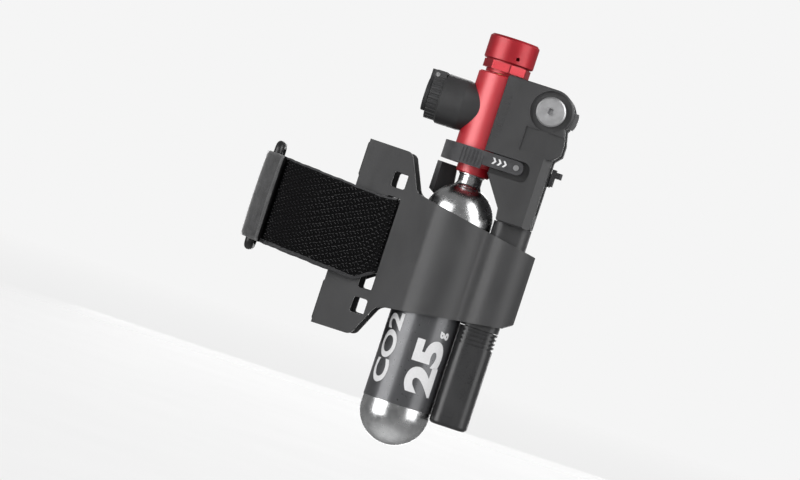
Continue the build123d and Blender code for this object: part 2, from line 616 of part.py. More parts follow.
# ---- Folding tool: two shells round the barrel, open to the right for the folding tools ----
def shell(side):
    """One half of the tool's body, on the side of y given by its sign."""
    outward = sheet(0) if side < 0 else Plane(origin=(0, 0, 0), x_dir=(1, 0, 0), z_dir=(0, -1, 0))
    reach = SHELL_HALF if side < 0 else -SHELL_HALF
    with BuildPart() as half:
        with BuildSketch(outward):
            with BuildLine():
                FilletPolyline(
                    (SHELL_X0, 34.6), (52.8, 34.6), (60.9, 22.8), (61.4, SHELL_Z0), (73.7, SHELL_Z0),
                    (EDGE_X, 44.4), (76.0, 46.8), (76.0, 50.8), (74.6, 57.0), (74.6, 62.0),
                    (PIVOT_X, SHELL_TOP), (SHELL_X0, SHELL_TOP), close=True, radius=0.9,
                )
            make_face()
            with Locations((PIVOT_X, PIVOT_Z)):
                Circle(EYE_R)
        extrude(amount=reach)
        outer = half.faces().sort_by(Axis.Y)[0 if side < 0 else -1]
        chamfer(outer.edges(), 0.45)
        # seat for the inflator's barrel, and the slot that the tools fold into
        with BuildSketch(Plane.XY.offset(CRADLE_Z0)):
            with Locations((AXIS_X, 0)):
                Circle(CRADLE_R)
        extrude(amount=THROUGH, mode=Mode.SUBTRACT)
        with BuildSketch(Plane.XY.offset(SLOT_Z0)):
            with Locations(((SLOT_X0 + FAR_X) / 2, 0)):
                Rectangle(FAR_X - SLOT_X0, 2 * SLOT_HALF)
        extrude(amount=THROUGH, mode=Mode.SUBTRACT)
        # pocket for the retainer's arm
        pocket_end = ARM_POCKET_X1 if side < 0 else FAR_X
        with BuildSketch(Plane(origin=(0, side * BARREL_R, 0), x_dir=(1, 0, 0), z_dir=(0, side, 0))):
            flip = 1 if side < 0 else -1
            with Locations(((ARM_POCKET_X0 + pocket_end) / 2, flip * (RETAINER_Z0 + RETAINER_Z1) / 2)):
                RectangleRounded(pocket_end - ARM_POCKET_X0, ARM_POCKET_H, 2.6)
        extrude(amount=THROUGH, mode=Mode.SUBTRACT)
        with BuildSketch(sheet(0)):
            with Locations(((ARM_POCKET_X0 + RING_POCKET_X1) / 2, (RETAINER_Z0 + RETAINER_Z1) / 2)):
                Rectangle(RING_POCKET_X1 - ARM_POCKET_X0, ARM_POCKET_H)
        extrude(amount=THROUGH, both=True, mode=Mode.SUBTRACT)
        # recess and bore for the pivot
        with BuildSketch(sheet(side * SHELL_HALF)):
            with Locations((PIVOT_X, PIVOT_Z)):
                Circle(RECESS_R)
        extrude(amount=RECESS_D, both=True, mode=Mode.SUBTRACT)
        with BuildSketch(sheet(0)):
            with Locations((PIVOT_X, PIVOT_Z)):
                Circle(PIVOT_R)
        extrude(amount=THROUGH, both=True, mode=Mode.SUBTRACT)
        # bores for the screws, and the tongue's seat
        with BuildSketch(sheet(0)):
            with Locations(*SCREW_SPOTS):
                Circle(SCREW_R)
        extrude(amount=SCREW_BORE_END if side < 0 else -THROUGH, mode=Mode.SUBTRACT)
        with BuildSketch(Plane.XY.offset(SHELL_Z0)):
            with Locations((TUBE_X, 0)):
                Rectangle(TONGUE_W, TONGUE_D)
        extrude(amount=TONGUE_TOP - SHELL_Z0, mode=Mode.SUBTRACT)
        # sloped front edge of the lower rail
        with BuildSketch(Plane.XY.offset(RAIL_TOP)):
            with BuildLine():
                Polyline(
                    (70.9, side * SHELL_HALF), (71.4, side * 14), (76, side * 14), (76, side * 9.4),
                    (EDGE_X, side * 9.6), close=True,
                )
            make_face()
        extrude(amount=-THROUGH, mode=Mode.SUBTRACT)
    return half


front = shell(-1)
with BuildPart() as tool_shell_front:
    add(front.part)
    with BuildSketch(sheet(-SHELL_HALF)):
        with Locations(((PANEL_X0 + FAR_X) / 2, (PANEL_Z0 + PANEL_Z1) / 2)):
            Rectangle(FAR_X - PANEL_X0, PANEL_Z1 - PANEL_Z0)
    extrude(amount=PANEL_D, both=True, mode=Mode.SUBTRACT)
    with BuildSketch(sheet(-SHELL_HALF)):
        with Locations((52.6, 54.0)):
            with GridLocations(1, 2.0, 1, 8):
                RectangleRounded(1.8, 0.9, 0.4)
    extrude(amount=0.25)
write(tool_shell_front.part, "tool_shell_front")

rear = shell(1)
with BuildPart() as tool_shell_rear:
    add(rear.part)
    with BuildSketch(sheet(SHELL_HALF)):
        with Locations(*SCREW_SPOTS):
            Circle(SCREW_CAP_R + 0.1)
    extrude(amount=SCREW_CAP_D + CAP_SINK, both=True, mode=Mode.SUBTRACT)
write(tool_shell_rear.part, "tool_shell_rear")

for number, spot in enumerate(SCREW_SPOTS, 1):
    with BuildPart() as body_screw:
        with BuildSketch(sheet(SHELL_HALF - SCREW_CAP_D - CAP_SINK)):
            with Locations(spot):
                Circle(SCREW_CAP_R)
        extrude(amount=-SCREW_CAP_D)
        chamfer(body_screw.edges().sort_by(Axis.Y)[-1], 0.3)
        with BuildSketch(sheet(SHELL_HALF - CAP_SINK)):
            with Locations(spot):
                RegularPolygon(SOCKET_R, 6)
        extrude(amount=SOCKET_D, mode=Mode.SUBTRACT)
        with BuildSketch(sheet(SHELL_HALF - SCREW_CAP_D - CAP_SINK)):
            with Locations(spot):
                Circle(SCREW_R)
        extrude(amount=SHELL_HALF - SCREW_CAP_D - CAP_SINK + SCREW_END)
    write(body_screw.part, f"body_screw_{number}")

# ---- Pivot: screw with a flat head in front, spacers between the tools, nut behind ----
SEAT_Y = SHELL_HALF - RECESS_D
with BuildPart() as pivot_screw:
    with BuildSketch(sheet(-SEAT_Y)):
        with Locations((PIVOT_X, PIVOT_Z)):
            Circle(SCREW_HEAD_R)
    extrude(amount=SCREW_HEAD_T)
    chamfer(pivot_screw.edges().sort_by(Axis.Y)[0], 0.5)
    with BuildSketch(sheet(-SEAT_Y - SCREW_HEAD_T)):
        with Locations((PIVOT_X, PIVOT_Z)):
            RegularPolygon(PIVOT_SOCKET_R, 6)
    extrude(amount=-PIVOT_SOCKET_D, mode=Mode.SUBTRACT)
    with BuildSketch(sheet(-SEAT_Y)):
        with Locations((PIVOT_X, PIVOT_Z)):
            Circle(PIVOT_R)
    extrude(amount=-(2 * SEAT_Y + PIVOT_OVERHANG))
write(pivot_screw.part, "pivot_screw")

with BuildPart() as pivot_nut:
    with BuildSketch(sheet(SEAT_Y)):
        with Locations((PIVOT_X, PIVOT_Z)):
            RegularPolygon(NUT_R, 6)
            Circle(PIVOT_R, mode=Mode.SUBTRACT)
    extrude(amount=-NUT_T)
write(pivot_nut.part, "pivot_nut")

with BuildPart() as pivot_spacers:
    for side in (-1, 1):
        with BuildSketch(sheet(side * (MIDDLE_HALF + SIDE_Y0) / 2)):
            with Locations((PIVOT_X, PIVOT_Z)):
                Circle(SPACER_R)
                Circle(PIVOT_R, mode=Mode.SUBTRACT)
        extrude(amount=SPACER_HALF, both=True)
write(pivot_spacers.part, "pivot_spacers")

# ---- Reamer: round rasp with a pointed end, in the middle of the slot ----
TIP_Z = PIVOT_Z - TOOL_LENGTH
with BuildPart() as reamer:
    with BuildSketch(sheet(0)):
        with Locations((PIVOT_X, PIVOT_Z)):
            Circle(TOOL_HUB_R)
        with Locations((PIVOT_X, PIVOT_Z - 7)):
            Trapezoid(9.0, 8.0, 75, rotation=180)
        with Locations((PIVOT_X, PIVOT_Z)):
            Circle(TURN_R, mode=Mode.SUBTRACT)
    extrude(amount=MIDDLE_HALF, both=True)
    with BuildSketch(Plane(origin=(PIVOT_X, 0, 0), x_dir=(1, 0, 0), z_dir=(0, -1, 0))):
        with BuildLine():
            Polyline(
                (0, PIVOT_Z - 8), (REAMER_R - 0.5, PIVOT_Z - 8), (REAMER_R, PIVOT_Z - 8.8),
                (REAMER_R, TIP_Z + 7), (0.3, TIP_Z), (0, TIP_Z), close=True,
            )
        make_face()
    revolve(axis=Axis((PIVOT_X, 0, 0), (0, 0, 1)))
write(reamer.part, "reamer")

# ---- Plug fork: flat blade with a split eye that pushes a tyre plug in, on the rear side ----
with BuildPart() as plug_fork:
    with BuildSketch(sheet(SIDE_Y1)):
        with Locations((PIVOT_X, PIVOT_Z)):
            Circle(TOOL_HUB_R)
        with BuildLine():
            Polyline(
                (PIVOT_X - 5.4, PIVOT_Z - 3), (PIVOT_X - 2.4, PIVOT_Z - 10), (PIVOT_X - 2.2, TIP_Z + 3),
                (PIVOT_X - 1.1, TIP_Z), (PIVOT_X + 1.1, TIP_Z), (PIVOT_X + 2.2, TIP_Z + 3),
                (PIVOT_X + 2.4, PIVOT_Z - 10), (PIVOT_X + 5.4, PIVOT_Z - 3), close=True,
            )
        make_face()
        with Locations((PIVOT_X, TIP_Z + 5)):
            SlotOverall(5.0, 1.7, rotation=90, mode=Mode.SUBTRACT)
        with Locations((PIVOT_X, TIP_Z + 1.5)):
            Rectangle(0.8, 5, mode=Mode.SUBTRACT)
        with Locations((PIVOT_X, PIVOT_Z)):
            Circle(TURN_R, mode=Mode.SUBTRACT)
    extrude(amount=SIDE_Y1 - SIDE_Y0)
write(plug_fork.part, "plug_fork")

# ---- Knife: short serrated blade with a heel to open it by, on the front side ----
with BuildPart() as knife_blade:
    with BuildSketch(sheet(-SIDE_Y0)):
        with Locations((PIVOT_X, PIVOT_Z)):
            Circle(TOOL_HUB_R)
        with BuildLine():
            CenterArc((PIVOT_X, PIVOT_Z), HEEL_R, HEEL_DEG0, HEEL_DEG1 - HEEL_DEG0)
            Line(polar(HEEL_R, HEEL_DEG1, (PIVOT_X, PIVOT_Z)), polar(3, 60, (PIVOT_X, PIVOT_Z)))
            Line(polar(3, 60, (PIVOT_X, PIVOT_Z)), polar(3, -80, (PIVOT_X, PIVOT_Z)))
            Line(polar(3, -80, (PIVOT_X, PIVOT_Z)), polar(HEEL_R, HEEL_DEG0, (PIVOT_X, PIVOT_Z)))
        make_face()
        with BuildLine():
            Polyline(
                (PIVOT_X - 4.6, PIVOT_Z - 4), (PIVOT_X - 4.4, TIP_Z + 5), (PIVOT_X + 3.8, TIP_Z + 1),
                (PIVOT_X + 4.2, TIP_Z + 3), (PIVOT_X + 4.6, PIVOT_Z - 4), close=True,
            )
        make_face()
        with Locations((PIVOT_X - 4.9, (TIP_Z + PIVOT_Z) / 2 - 2.5)):
            with GridLocations(1, SERRATION_PITCH, 1, SERRATIONS):
                Circle(SERRATION_R, mode=Mode.SUBTRACT)
        with Locations((PIVOT_X, PIVOT_Z)):
            Circle(TURN_R, mode=Mode.SUBTRACT)
    extrude(amount=SIDE_Y1 - SIDE_Y0)
write(knife_blade.part, "knife_blade")

# ---- Rubber retainer: round the barrel and along both shells, with its peg ----
with BuildPart() as retainer_band:
    with BuildSketch(Plane.XY.offset(RETAINER_Z0)):
        with BuildLine():
            CenterArc((AXIS_X, 0), RETAINER_R, 90, 180)
            Line((AXIS_X, -RETAINER_R), (ARM_END_X, -RETAINER_R))
            Line((ARM_END_X, -RETAINER_R), (ARM_END_X, -BARREL_R))
            Line((ARM_END_X, -BARREL_R), (AXIS_X, -BARREL_R))
            CenterArc((AXIS_X, 0), BARREL_R, 270, -180)
            Line((AXIS_X, BARREL_R), (REAR_END_X, BARREL_R))
            Line((REAR_END_X, BARREL_R), (REAR_END_X, RETAINER_R))
            Line((REAR_END_X, RETAINER_R), (AXIS_X, RETAINER_R))
        make_face()
    extrude(amount=RETAINER_Z1 - RETAINER_Z0)
    with BuildSketch(sheet(0)):
        with Locations((RING_X1 - AXIS_X / 2, (RETAINER_Z0 + RETAINER_Z1) / 2)):
            Rectangle(AXIS_X, RETAINER_Z1 - RETAINER_Z0)
        with Locations(((AXIS_X + FAR_X) / 2, (ARM_Z0 + RETAINER_Z1) / 2)):
            Rectangle(FAR_X - AXIS_X, RETAINER_Z1 - ARM_Z0)
    extrude(amount=THROUGH, both=True, mode=Mode.INTERSECT)
    end_edges = retainer_band.edges().filter_by(Axis.Y).filter_by_position(
        Axis.X, ARM_END_X - 0.2, ARM_END_X + 0.2
    )
    fillet(end_edges, 2.2)
    with BuildSketch(Plane.XY.offset(36.0)):
        with BuildLine():
            Polyline(
                (74.1, 5.2), (75.5, 5.2), (75.5, RETAINER_R - 1.2), (REAR_END_X, RETAINER_R),
                (74.1, RETAINER_R), close=True,
            )
        make_face()
    extrude(amount=6)
    with BuildSketch(Plane.XY.offset(39.2)):
        with BuildLine():
            Polyline(
                (75.0, 5.4), (77.2, 5.4), (77.8, 6.2), (77.8, 10.2), (77.2, 10.8), (75.0, 10.8), close=True,
            )
        make_face()
    extrude(amount=2.1)
    # upright ribs on the front of the ring
    for step in range(RIBS):
        rib_x = RIB_X0 + RIB_PITCH * step
        rib_y = -sqrt(RETAINER_R**2 - min(0, rib_x - AXIS_X) ** 2) + 0.05
        with BuildSketch(Plane.XY.offset(RETAINER_Z0 + 0.6)):
            with Locations((rib_x, rib_y)):
                Circle(RIB_R)
        extrude(amount=RETAINER_Z1 - RETAINER_Z0 - (1.2 if rib_x < RING_X1 - 0.6 else 2.4))
    with BuildSketch(sheet(0)):
        with Locations((PEG_X, PEG_Z)):
            Circle(PEG_R)
    extrude(amount=THROUGH, mode=Mode.SUBTRACT)
write(retainer_band.part, "retainer_band")

with BuildPart() as retainer_peg:
    with BuildSketch(sheet(-BARREL_R)):
        with Locations((PEG_X, PEG_Z)):
            Circle(PEG_R)
    extrude(amount=RETAINER_R - BARREL_R + PEG_PROUD)
write(retainer_peg.part, "retainer_peg")

# ---- Plug tube under the tool, its pull-off cap, and the tyre plugs it keeps ----
def tube_section(width, depth, corner, mode=Mode.ADD):
    """The tube's rounded section, centred on the tube."""
    with Locations((TUBE_X, 0)):
        RectangleRounded(width, depth, corner, mode=mode)


INNER_W, INNER_D = TUBE_W - 2 * TUBE_WALL, TUBE_D - 2 * TUBE_WALL
INNER_CORNER = TUBE_CORNER - TUBE_WALL
SPIGOT_CORNER = INNER_CORNER - RUN_GAP
MOUTH_CORNER = SPIGOT_CORNER - SPIGOT_WALL
CAVITY_Z0, CAVITY_Z1 = TUBE_Z0 + 3.0, TUBE_Z1 - 2.2
INSERT_Z0 = 2.0
SPIGOT_W, SPIGOT_D = INNER_W - 2 * RUN_GAP, INNER_D - 2 * RUN_GAP
MOUTH_W, MOUTH_D = SPIGOT_W - 2 * SPIGOT_WALL, SPIGOT_D - 2 * SPIGOT_WALL

with BuildPart() as plug_tube:
    with BuildSketch(Plane.XY.offset(TUBE_Z0)):
        tube_section(TUBE_W, TUBE_D, TUBE_CORNER)
    extrude(amount=TUBE_Z1 - TUBE_Z0)
    with BuildSketch(Plane.XY.offset(SPIGOT_Z0)):
        tube_section(SPIGOT_W, SPIGOT_D, SPIGOT_CORNER)
    extrude(amount=TUBE_Z0 - SPIGOT_Z0)
    with BuildSketch(Plane.XY.offset(SPIGOT_Z0)):
        tube_section(MOUTH_W, MOUTH_D, MOUTH_CORNER)
    extrude(amount=CAVITY_Z0 - SPIGOT_Z0, mode=Mode.SUBTRACT)
    with BuildSketch(Plane.XY.offset(CAVITY_Z0)):
        tube_section(INNER_W, INNER_D, INNER_CORNER)
    extrude(amount=CAVITY_Z1 - CAVITY_Z0, mode=Mode.SUBTRACT)
    with BuildSketch(Plane.XY.offset(TUBE_Z1)):
        with Locations((TUBE_X, 0)):
            Rectangle(TONGUE_W, TONGUE_D)
    extrude(amount=TONGUE_TOP - TUBE_Z1)
    with BuildSketch(sheet(0)):
        with Locations(SCREW_SPOTS[2]):
            Circle(SCREW_R)
    extrude(amount=THROUGH, both=True, mode=Mode.SUBTRACT)
write(plug_tube.part, "plug_tube")

with BuildPart() as plug_tube_cap:
    with BuildSketch(Plane.XY.offset(CAP_Z0)):
        tube_section(TUBE_W, TUBE_D, TUBE_CORNER)
    extrude(amount=CAP_Z1 - CAP_Z0)
    fillet(plug_tube_cap.faces().sort_by(Axis.Z)[0].edges(), 1.3)
    with BuildSketch(Plane.XY.offset(CAP_Z0 + TUBE_WALL)):
        tube_section(INNER_W, INNER_D, INNER_CORNER)
    extrude(amount=THROUGH, mode=Mode.SUBTRACT)
    for step in range(GROOVES):
        with BuildSketch(Plane.XY.offset(CAP_Z1 - GROOVE_TOP - GROOVE_PITCH * step)):
            tube_section(TUBE_W + 2, TUBE_D + 2, TUBE_CORNER)
            groove_w, groove_d = TUBE_W - 2 * GROOVE_D, TUBE_D - 2 * GROOVE_D
            tube_section(groove_w, groove_d, TUBE_CORNER - GROOVE_D, Mode.SUBTRACT)
            with Locations((TUBE_X - TUBE_W / 2, 0)):
                Rectangle(2 * GROOVE_CLEAR, TUBE_D + 4, mode=Mode.SUBTRACT)
        extrude(amount=GROOVE_W, mode=Mode.SUBTRACT)
write(plug_tube_cap.part, "plug_tube_cap")

cord_spots = [
    (TUBE_X + column * PLUG_PITCH_X / 2, row * PLUG_PITCH_Y) for column in (-1, 1) for row in (-1, 0, 1)
]
with BuildPart() as plug_insert:
    with BuildSketch(Plane.XY.offset(INSERT_Z0)):
        tube_section(INNER_W, INNER_D, INNER_CORNER)
        with Locations(*cord_spots):
            Circle(PLUG_CORD_R, mode=Mode.SUBTRACT)
    extrude(amount=PLUG_Z1 - INSERT_Z0)
write(plug_insert.part, "plug_insert")

with BuildPart() as tyre_plugs:
    with BuildSketch(Plane.XY.offset(PLUG_Z0)):
        with Locations(*cord_spots):
            Circle(PLUG_CORD_R)
    extrude(amount=PLUG_Z1 - PLUG_Z0)
write(tyre_plugs.part, "tyre_plugs")
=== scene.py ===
"""Looks of the seatpost CO2 inflator kit: materials, strap, markings, studio and camera."""

import math
import random

import bmesh
import bpy
from mathutils import Matrix, Vector


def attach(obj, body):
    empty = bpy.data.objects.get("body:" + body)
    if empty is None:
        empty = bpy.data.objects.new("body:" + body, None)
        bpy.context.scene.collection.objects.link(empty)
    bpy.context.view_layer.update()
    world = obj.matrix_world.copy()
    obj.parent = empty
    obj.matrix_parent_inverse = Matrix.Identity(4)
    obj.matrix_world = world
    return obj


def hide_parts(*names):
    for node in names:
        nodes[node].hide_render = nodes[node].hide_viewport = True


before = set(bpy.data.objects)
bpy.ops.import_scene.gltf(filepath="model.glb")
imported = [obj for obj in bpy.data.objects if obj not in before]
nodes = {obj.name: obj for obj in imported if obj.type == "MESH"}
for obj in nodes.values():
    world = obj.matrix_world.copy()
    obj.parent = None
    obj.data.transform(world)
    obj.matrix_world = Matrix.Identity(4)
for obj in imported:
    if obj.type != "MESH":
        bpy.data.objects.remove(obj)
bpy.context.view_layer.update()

MM = 0.001
UP = Vector((0, 0, 1))


# ---- Node helpers ----
SHEEN_ROUGH = 0.45


def new_material(
    name, color, rough, metallic=0.0, specular=0.5, coat=0.0, coat_rough=0.12, coat_ior=1.5, sheen=0.0,
):
    """A Principled material, whose uniform values sit on the shader's own sockets."""
    mat = bpy.data.materials.new(name)
    mat.use_nodes = True
    shader = mat.node_tree.nodes["Principled BSDF"]
    shader.inputs["Base Color"].default_value = (*color, 1)
    shader.inputs["Roughness"].default_value = rough
    shader.inputs["Metallic"].default_value = metallic
    shader.inputs["Specular IOR Level"].default_value = specular
    shader.inputs["Coat Weight"].default_value = coat
    shader.inputs["Coat Roughness"].default_value = coat_rough
    shader.inputs["Coat IOR"].default_value = coat_ior
    shader.inputs["Sheen Weight"].default_value = sheen
    shader.inputs["Sheen Roughness"].default_value = SHEEN_ROUGH
    return mat


class Tree:
    """Short names for the nodes that the materials below are made of."""

    def __init__(self, mat):
        self.nodes = mat.node_tree.nodes
        self.links = mat.node_tree.links
        self.shader = self.nodes["Principled BSDF"]
        self.place = self.nodes.new("ShaderNodeTexCoord").outputs["Object"]

    def put(self, value, socket):
        """Links an output to a socket, or sets the socket to a plain value."""
        if hasattr(value, "is_output"):
            self.links.new(value, socket)
        else:
            socket.default_value = value

    def noise(self, size_mm, detail=3.0, stretch=(1, 1, 1), distort=0.0, place=None):
        """Noise whose grains are about size_mm across, stretched along the axes given."""
        mapping = self.nodes.new("ShaderNodeMapping")
        mapping.inputs["Scale"].default_value = [1 / s for s in stretch]
        self.put(place or self.place, mapping.inputs["Vector"])
        noise = self.nodes.new("ShaderNodeTexNoise")
        noise.inputs["Scale"].default_value = 1 / (size_mm * MM)
        noise.inputs["Detail"].default_value = detail
        noise.inputs["Distortion"].default_value = distort
        self.put(mapping.outputs["Vector"], noise.inputs["Vector"])
        return noise.outputs["Fac"]

    def cells(self, size_mm):
        """Distance to the nearest random cell centre, for pitted or beaded skins."""
        voronoi = self.nodes.new("ShaderNodeTexVoronoi")
        voronoi.inputs["Scale"].default_value = 1 / (size_mm * MM)
        self.put(self.place, voronoi.inputs["Vector"])
        return voronoi.outputs["Distance"]

    def spread(self, value, low, high, start=0.3, stop=0.7):
        """Maps value from the span start..stop to low..high."""
        remap = self.nodes.new("ShaderNodeMapRange")
        self.put(value, remap.inputs["Value"])
        remap.inputs["From Min"].default_value = start
        remap.inputs["From Max"].default_value = stop
        remap.inputs["To Min"].default_value = low
        remap.inputs["To Max"].default_value = high
        return remap.outputs["Result"]

    def math(self, kind, first, second):
        """Result of one Math node."""
        node = self.nodes.new("ShaderNodeMath")
        node.operation = kind
        self.put(first, node.inputs[0])
        self.put(second, node.inputs[1])
        return node.outputs["Value"]

    def blend(self, factor, low, high):
        """Colour from low to high by factor."""
        mix = self.nodes.new("ShaderNodeMix")
        mix.data_type = "RGBA"
        self.put(factor, mix.inputs["Factor"])
        self.put((*low, 1) if isinstance(low, tuple) else low, mix.inputs["A"])
        self.put((*high, 1) if isinstance(high, tuple) else high, mix.inputs["B"])
        return mix.outputs["Result"]

    def edge(self, radius_mm):
        """1 on convex and concave edges, 0 on open surface."""
        bevel = self.nodes.new("ShaderNodeBevel")
        bevel.samples = 4
        bevel.inputs["Radius"].default_value = radius_mm * MM
        geometry = self.nodes.new("ShaderNodeNewGeometry")
        dot = self.nodes.new("ShaderNodeVectorMath")
        dot.operation = "DOT_PRODUCT"
        self.put(bevel.outputs["Normal"], dot.inputs[0])
        self.put(geometry.outputs["Normal"], dot.inputs[1])
        return self.spread(dot.outputs["Value"], 1.0, 0.0, 0.8, 0.99)

    def axis_place(self, x_mm, z_mm=None):
        """Place turned into (distance from an axis, 0, distance along it).

        The axis is upright at x_mm. With z_mm it runs along Y at x_mm, z_mm instead.
        """
        parts = self.nodes.new("ShaderNodeSeparateXYZ")
        self.put(self.place, parts.inputs["Vector"])
        beside, along = parts.outputs["Y"], parts.outputs["Z"]
        if z_mm is not None:
            beside, along = self.math("SUBTRACT", parts.outputs["Z"], z_mm * MM), parts.outputs["Y"]
        join = self.nodes.new("ShaderNodeCombineXYZ")
        self.put(self.math("SUBTRACT", parts.outputs["X"], x_mm * MM), join.inputs["X"])
        self.put(beside, join.inputs["Y"])
        length = self.nodes.new("ShaderNodeVectorMath")
        length.operation = "LENGTH"
        self.put(join.outputs["Vector"], length.inputs[0])
        out = self.nodes.new("ShaderNodeCombineXYZ")
        self.put(length.outputs["Value"], out.inputs["X"])
        self.put(along, out.inputs["Z"])
        return out.outputs["Vector"]

    def band(self, low_mm, high_mm):
        """1 between two heights, 0 above and below."""
        parts = self.nodes.new("ShaderNodeSeparateXYZ")
        self.put(self.place, parts.inputs["Vector"])
        above = self.math("GREATER_THAN", parts.outputs["Z"], low_mm * MM)
        below = self.math("LESS_THAN", parts.outputs["Z"], high_mm * MM)
        return self.math("MULTIPLY", above, below)

    def color(self, value):
        self.put(value, self.shader.inputs["Base Color"])

    def rough(self, value):
        self.put(value, self.shader.inputs["Roughness"])

    def bump(self, *layers):
        """Stacks (height, depth in mm) layers into the shader's normal."""
        normal = None
        for height, depth_mm in layers:
            node = self.nodes.new("ShaderNodeBump")
            node.inputs["Distance"].default_value = depth_mm * MM
            self.put(height, node.inputs["Height"])
            if normal:
                self.put(normal, node.inputs["Normal"])
            normal = node.outputs["Normal"]
        self.put(normal, self.shader.inputs["Normal"])


# ---- Materials ----
def shade(color, gain, lift=0.0):
    """The colour made darker or paler."""
    return tuple(c * gain + lift for c in color)


def moulded_plastic(name, color, rough=0.46, grain_mm=0.32, depth_mm=0.012):
    """Glass-filled nylon: spark-eroded skin, faint flow marks, and edges paler in patches, partly polished
    and scuffed, partly a painted edge highlight.
    """
    mat = new_material(name, color, rough)
    tree = Tree(mat)
    grain = tree.noise(grain_mm, 2.0)
    flow = tree.noise(9, 4.0, stretch=(1, 1, 2.2), distort=0.8)
    skin = tree.blend(tree.spread(flow, 0, 1), shade(color, 0.78), color)
    # Paler patches along the edges: partly scuffing, partly a painted edge highlight.
    rubbed_and_highlit = tree.math("MULTIPLY", tree.edge(0.22), tree.spread(tree.noise(1.4), 0.15, 1))
    tree.color(tree.blend(tree.math("MULTIPLY", rubbed_and_highlit, 0.55), skin, shade(color, 1.8, 0.012)))
    gloss = tree.spread(grain, rough - 0.06, rough + 0.1)
    tree.rough(tree.math("ADD", gloss, tree.spread(flow, -0.03, 0.05)))
    tree.bump((grain, depth_mm), (tree.noise(2.6, 2.0), 0.01))
    return mat


def soft_rubber(name, color, rough=0.72):
    """Moulded rubber with a dusty bloom and tiny pits."""
    mat = new_material(name, color, rough, specular=0.35, sheen=0.08)
    tree = Tree(mat)
    dust = tree.noise(3.2, 5.0)
    pits = tree.cells(0.24)
    tree.color(tree.blend(tree.spread(dust, 0, 1, 0.4, 0.75), color, shade(color, 1.5, 0.012)))
    tree.rough(tree.spread(dust, rough - 0.1, rough + 0.12))
    tree.bump((pits, 0.01), (tree.noise(0.9), 0.015))
    return mat


def anodised_red(name, axis_x, blasted=False):
    """Red anodised aluminium under its clear oxide, lathe-turned with fine tool marks, or bead-blasted."""
    if blasted:
        red, deep, metal, coat, coat_rough = (0.44, 0.005, 0.016), (0.38, 0.004, 0.013), 0.75, 0.55, 0.38
    else:
        red, deep, metal, coat, coat_rough = (0.56, 0.006, 0.02), (0.49, 0.005, 0.016), 0.5, 1.0, 0.39
    mat = new_material(name, red, 0.6, metal, 0, coat, coat_rough, coat_ior=1.8)
    tree = Tree(mat)
    cloud = tree.noise(5, 3.0)
    skin = tree.blend(tree.spread(cloud, 0, 1), deep, red)
    # Pale pink patches along the edges: partly wear, partly a painted edge highlight.
    worn_and_highlit = tree.math("MULTIPLY", tree.edge(0.16), tree.spread(tree.noise(0.7), 0, 1, 0.42, 0.6))
    tree.color(tree.blend(tree.math("MULTIPLY", worn_and_highlit, 0.5), skin, (0.85, 0.3, 0.3)))
    if blasted:
        beads = tree.cells(0.16)
        polish = tree.math("MULTIPLY", tree.band(*KNOB_BAND), BAND_POLISH)
        tree.rough(tree.math("SUBTRACT", tree.spread(tree.noise(0.35), 0.5, 0.62), polish))
        tree.bump((beads, 0.012), (tree.noise(0.5), 0.006))
    else:
        marks = tree.noise(0.09, 2.0, place=tree.axis_place(axis_x))
        tree.rough(tree.math("ADD", tree.spread(marks, 0.5, 0.62), tree.spread(cloud, -0.02, 0.04)))
        tree.bump((marks, 0.0016), (tree.noise(0.3), 0.0012))
    return mat


def turned_metal(name, color, rough, axis=None, marks_mm=0.12, depth_mm=0.002):
    """Bare machined metal: turning marks round an axis, as axis_place takes it, or an even brushed grain."""
    mat = new_material(name, color, rough, metallic=1.0)
    tree = Tree(mat)
    if axis:
        marks = tree.noise(marks_mm, 2.0, place=tree.axis_place(*axis))
    else:
        marks = tree.noise(marks_mm, 2.0, stretch=(6, 1, 1))
    haze = tree.noise(2.4, 4.0)
    tree.color(tree.blend(tree.spread(haze, 0, 1), shade(color, 0.82), color))
    tree.rough(tree.math("ADD", tree.spread(marks, rough - 0.05, rough + 0.08), tree.spread(haze, 0, 0.08)))
    tree.bump((marks, depth_mm))
    return mat


def cartridge_steel(name):
    """Bright drawn steel: fine rings round the axis, a faint waviness, light haze and small spots."""
    mat = new_material(name, (0.74, 0.745, 0.75), 0.14, metallic=1.0)
    tree = Tree(mat)
    ring = tree.noise(0.5, 3.0, place=tree.axis_place(CARTRIDGE_X))
    haze = tree.noise(3.5, 3.0)
    spots = tree.noise(0.8, 2.0)
    tree.color(tree.blend(tree.spread(haze, 0, 1), (0.6, 0.605, 0.61), (0.8, 0.805, 0.81)))
    tree.rough(tree.math("ADD", tree.spread(haze, 0.2, 0.28), tree.spread(spots, -0.01, 0.03)))
    tree.bump((ring, 0.002), (tree.noise(4.5, 1.0), 0.008), (spots, 0.0006))
    return mat


def printed_film(name):
    """Dark grey printed film over steel: satin varnish with fine orange peel and handling scuffs."""
    mat = new_material(name, (0.085, 0.086, 0.09), 0.34, metallic=0.55, coat=0.35)
    tree = Tree(mat)
    peel = tree.noise(1.1, 2.0)
    scuff = tree.noise(0.35, 4.0, stretch=(1, 1, 9))
    rub = tree.spread(scuff, 0, 0.35, 0.62, 0.75)
    tree.color(tree.blend(rub, (0.088, 0.089, 0.093), (0.2, 0.2, 0.205)))
    tree.rough(tree.spread(peel, 0.27, 0.38))
    tree.bump((peel, 0.006), (scuff, 0.001))
    return mat


def printed_ink(name, color):
    """Screen-printed ink: flat, slightly uneven, with pinholes."""
    mat = new_material(name, color, 0.5)
    tree = Tree(mat)
    patch = tree.noise(0.7, 4.0)
    tree.color(tree.blend(tree.spread(patch, 0, 1), shade(color, 0.92), color))
    tree.rough(tree.spread(patch, 0.42, 0.6))
    tree.bump((tree.noise(0.2), 0.003))
    return mat


